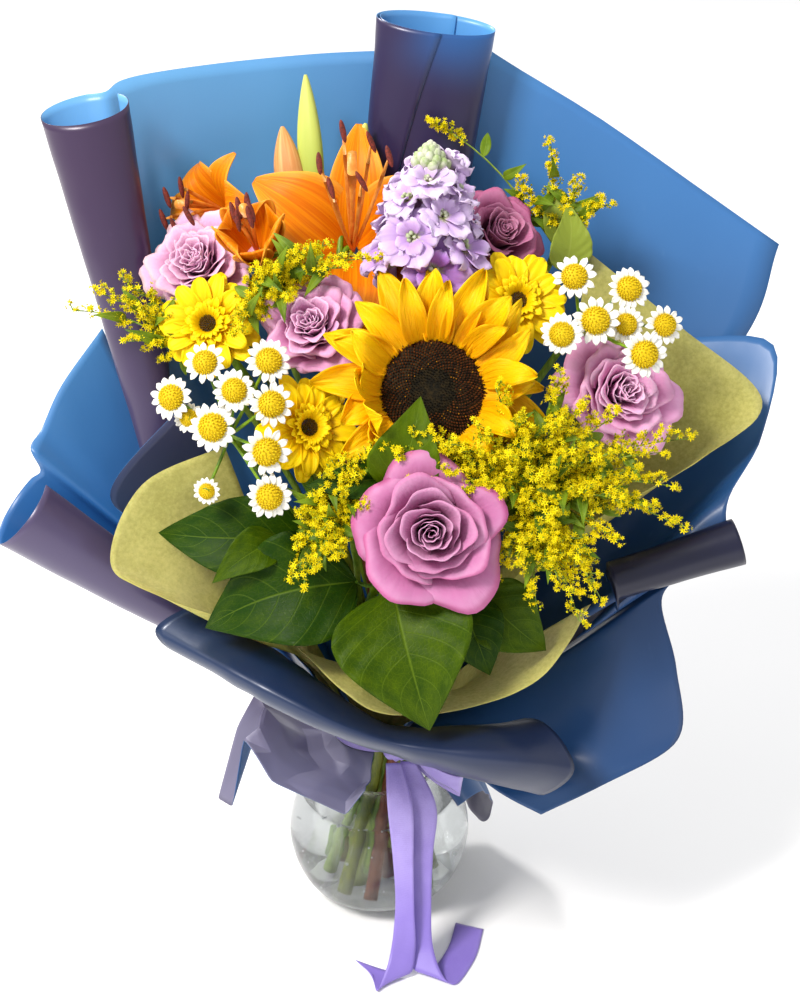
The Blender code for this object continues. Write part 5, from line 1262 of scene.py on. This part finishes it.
ROSE_RINGS = (
    (2, 0.0016, 0.0396, 2.3, 0.0004), (3, 0.0033, 0.0406, 2.0, 0.0008), (3, 0.0054, 0.0414, 1.80, 0.0014),
    (3, 0.0080, 0.0416, 1.60, 0.0022), (3, 0.0114, 0.0408, 1.45, 0.0036), (4, 0.0158, 0.0386, 1.20, 0.0052),
    (4, 0.0214, 0.0345, 1.14, 0.0080), (5, 0.0270, 0.0275, 1.00, 0.0105),
)


def rose(node, place, lean, size, skin, seed, crinkle=1.0, turn=0.0, more=0):
    """A rose whose rings of petals open outward: each ring has its rim radius, height, half sweep and rolled lip."""
    rng = random.Random(seed)
    shape, sepals = bmesh.new(), bmesh.new()
    placement = aim(face(*place), facing(*lean), turn)
    for row, (count, rim, high, spread, lip) in enumerate(ROSE_RINGS):
        f = row / (len(ROSE_RINGS) - 1)
        count += more * (row > 1)
        for k in range(count):
            start = math.tau * (k + rng.uniform(-0.16, 0.16)) / count + row * 2.1
            wave, dip, peak = rng.uniform(0, 6), rng.uniform(0.0, 0.05), rng.uniform(-0.3, 0.3)
            rim_here, lip_here = rim * rng.uniform(0.90, 1.08), lip * rng.uniform(0.6, 1.2)
            pointed = 0.42 * max(0.0, f - 0.45) * rng.uniform(0.5, 1.2)
            high_here = high * rng.uniform(0.96, 1.03)

            def side(s, t):
                top = 1 - 0.14 * abs(s) ** 1.4 - 0.14 * s ** 4 + peak * 0.10 * s - dip * math.exp(-(s * 4) ** 2)
                rolled = max(0.0, (t - 0.66) / 0.34)
                ripple = math.sin(4.5 * s + wave) + 0.4 * math.sin(13 * s + 2 * wave) * t
                ripple *= crinkle * 0.0010 * t ** 3 * (0.4 + f)
                radius = rim_here * (0.14 + 0.86 * math.sin(math.pi / 2 * min(t * 1.05, 1)) ** 0.9)
                radius *= 1 + 0.16 * s * (1 - 0.5 * f) + pointed * rolled * (math.exp(-(s * 2.4) ** 2) - 0.4 * s * s)
                radius += lip_here * (1 - 0.35 * abs(s) ** 1.5) * rolled ** 1.8 * (1 + 0.2 * math.sin(3 * s + wave)) + ripple
                height = high_here * top * t ** 1.25 - lip_here * 0.8 * rolled ** 3 + ripple * 0.8
                around = start + s * spread * (0.45 + 0.55 * min(1.0, t * 1.5))
                return Vector((radius * math.cos(around), radius * math.sin(around), height)) * size
            petal(shape, placement, side, 22, 18, 0.15 * rng.random() + 0.85 * f)
    piece(node + "_petals", shape, [skin], "rose_petal", node, thick=0.00035)
    for k in range(5):
        droop = rng.uniform(0.2, 0.9)

        def sepal(s, t):
            half = size * 0.0042 * (1 - t) ** 0.7
            return Vector((half * s, size * (0.004 + 0.022 * t), size * (0.001 + 0.006 * math.sin(2 * t) - droop * 0.018 * t * t)))
        petal(sepals, placement @ Matrix.Rotation(math.tau * k / 5, 4, "Z"), sepal, 4, 10)
    bmesh.ops.create_icosphere(sepals, subdivisions=3, radius=size * 0.0060, matrix=placement @ Matrix.Diagonal((1, 1, 0.8, 1)))
    piece(node + "_sepals", sepals, [leaf_dark], "leaf", node)


rose("rose_front", (17, -16, 96), (0, -0.05), 1.06, mauve, 81, turn=0.6)
rose("rose_left", (-48, 96, 60), (-0.12, 0.16), 0.76, lilac, 82, 2.4, more=1)
rose("rose_right", (121, 62, 52), (0.22, 0.0), 0.86, lilac, 83, 2.0, more=1)
rose("rose_upper_left", (-114, 133, 30), (-0.20, 0.25), 0.78, blush_pink, 84, 3.0, more=2)
rose("rose_upper_right", (51, 151, 26), (0.40, 0.25), 0.76, dusky, 85, 1.3)


# The sunflower: the biggest flower, in the middle. Two or three rings of long grooved golden petals wave and
# curl round a wide rust-brown disc with a ring of gold pollen and a near-black middle.

SUNFLOWER_DISC, SUNFLOWER_PETAL = 0.029, 0.033

sunflower_gold, shader, cloth, across, along, shade = petal_wire(
    "sunflower petal", Roughness=0.5, Subsurface_Weight=0.18, Subsurface_Radius=(0.004, 0.002, 0.0006))
groove = cloth.grain(9.0, 3.0, (1, 0.05, 1))
wrinkle = cloth.grain(5.0, 3.0, (1, 0.35, 1))
# Painted shade and light: the groove noise, which also bumps the petal, paints darker orange streaks for the shade in
# its folds, and the wrinkle noise paints its raised wrinkles lighter.
colour = (along.clear(0.0, 0.9) * 0.5 + shade * 0.3 + wrinkle * 0.2).tint((0.80, 0.31, 0.0), (0.92, 0.60, 0.0))
cloth.plug(shader["Base Color"], (groove.clear(0.50, 0.72) * 0.50).tint(colour, (0.66, 0.19, 0.0)))
relief(cloth, shader, groove * 0.5 + wrinkle, 0.9, 0.0022)
disc_brown, shader, cloth, across, along, shade = petal_wire("sunflower disc", Roughness=0.75)
place = cloth.node("TexCoord", {}, output=3)
mottle = place.grain(420.0, 3.0).clear(0.35, 0.7)
rust = mottle.tint((0.022, 0.006, 0.002), (0.150, 0.038, 0.004))
black = mottle.tint((0.006, 0.005, 0.002), (0.030, 0.020, 0.006))
colour = shade.clear(0.2, 0.5).tint(black, rust)
cloth.plug(shader["Base Color"], shade.clear(0.80, 1.0).tint(colour, (0.40, 0.16, 0.006)))
relief(cloth, shader, place.grain(1800.0, 2.0), 0.6, 0.0005)

sun = aim(face(18, 60, 90), facing(0.02, 0.05))
rng = random.Random(91)
golden = bmesh.new()
for row, (count, start, length, rise, width) in enumerate((
    (14, 0.0270, 1.14, 0.10, 0.0112), (14, 0.0276, 1.04, 0.36, 0.0108), (11, 0.0284, 0.80, 0.66, 0.0092),
)):
    for k in range(count):
        turn = math.tau * (k + 0.37 * row + rng.uniform(-0.25, 0.25)) / count
        upward = math.cos(turn)
        long = SUNFLOWER_PETAL * length * rng.uniform(0.80, 1.08) * (1 + 0.30 * max(0, upward)) + 0.002
        low_left = max(0.0, -0.5 * upward + 0.86 * math.sin(turn)) if row else 0.0
        curl, sway = rng.uniform(-0.45, 0.50) + 1.7 * low_left ** 2, rng.uniform(-0.6, 0.6)
        lowest = max(0.0, -upward - 0.5)
        long *= 1 - 0.8 * lowest
        curl *= 1 - 2 * lowest
        sway *= 1 - 2 * lowest
        wave, fold, roll_over = rng.uniform(0, 6), rng.uniform(0.1, 0.9), rng.uniform(-0.45, 0.45)
        broad = width * rng.uniform(0.90, 1.25)

        def blade(s, t):
            half = broad * 1.60 * (t + 0.10) ** 0.46 * max(0.0, 1.02 - t) ** 0.84
            lift = long * (rise * math.sin(1.9 * t) + curl * t * t * 0.5) - 0.10 * long * t ** 4
            folded = fold * half * s * s + 0.05 * half * math.cos(s * 14) + 0.0016 * math.sin(6 * t + wave) * s
            folded += roll_over * half * s * t + 0.0034 * t * math.sin(9 * t + 2.5 * s + 2 * wave) * abs(s)
            reach = start + long * t * (1 - 0.45 * max(0.0, curl) * t)
            return Vector((half * s + sway * long * t * t * 0.5, reach, 0.001 * row + lift + folded))
        petal(golden, sun @ Matrix.Rotation(turn, 4, "Z"), blade, 14, 20, rng.uniform(0.1, 1))
piece("sunflower_rays", golden, [sunflower_gold], "sunflower_petal", "sunflower_petals", thick=0.0005)

disc = bmesh.new()
disc_seed = bmesh.new()
disc_seed.loops.layers.uv.new("grain")
disc_seed.verts.layers.float.new("shade")
bmesh.ops.create_cone(disc_seed, cap_ends=True, segments=6, radius1=0.5, radius2=0.22, depth=1.6)
casts = {}
for tone_name, tone_value in (("black", 0.0), ("rust", 0.6), ("gold", 1.0)):
    for corner in disc_seed.verts:
        corner[disc_seed.verts.layers.float["shade"]] = tone_value if corner.co.z > 0 else min(tone_value, 0.6)
    mesh = bpy.data.meshes.new("seed")
    disc_seed.to_mesh(mesh)
    casts[tone_name] = mesh
disc_seed.free()
for k in range(1100):
    f = math.sqrt((k + 0.5) / 1100)
    tone_name = "black" if f < 0.42 else "gold" if f < 0.56 and rng.random() < 0.16 else "rust"
    if f > 0.6 and rng.random() < 0.035:
        tone_name = "gold"
    lift = 0.0075 - 0.0055 * f ** 3 - 0.0025 * (1 - f) ** 2
    at = Matrix.Translation((SUNFLOWER_DISC * 1.03 * f, 0, lift)) @ Matrix.Rotation(0.9 * f ** 3 + rng.uniform(-0.2, 0.2), 4, "Y")
    size = 0.00125 * (0.75 + 0.45 * f) * rng.uniform(0.85, 1.15)
    put(disc, casts[tone_name], sun @ Matrix.Rotation(k * 2.39996, 4, "Z") @ at @ Matrix.Scale(size, 4))
piece("sunflower_florets", disc, [disc_brown], "sunflower_disc", "sunflower_disc")
pad_profile = [(0, -0.004), (0.014, -0.003), (0.0255, 0.0), (0.0290, 0.0015), (0.0270, 0.0035), (0.018, 0.0055), (0, 0.0055)]
pad = turned(pad_profile, 48)
bmesh.ops.transform(pad, matrix=sun, verts=pad.verts[:])
piece("sunflower_pad", pad, [disc_brown], "sunflower_disc", "sunflower_disc")

for node in [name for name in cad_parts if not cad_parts[name].hide_render]:
    print("left showing:", node)
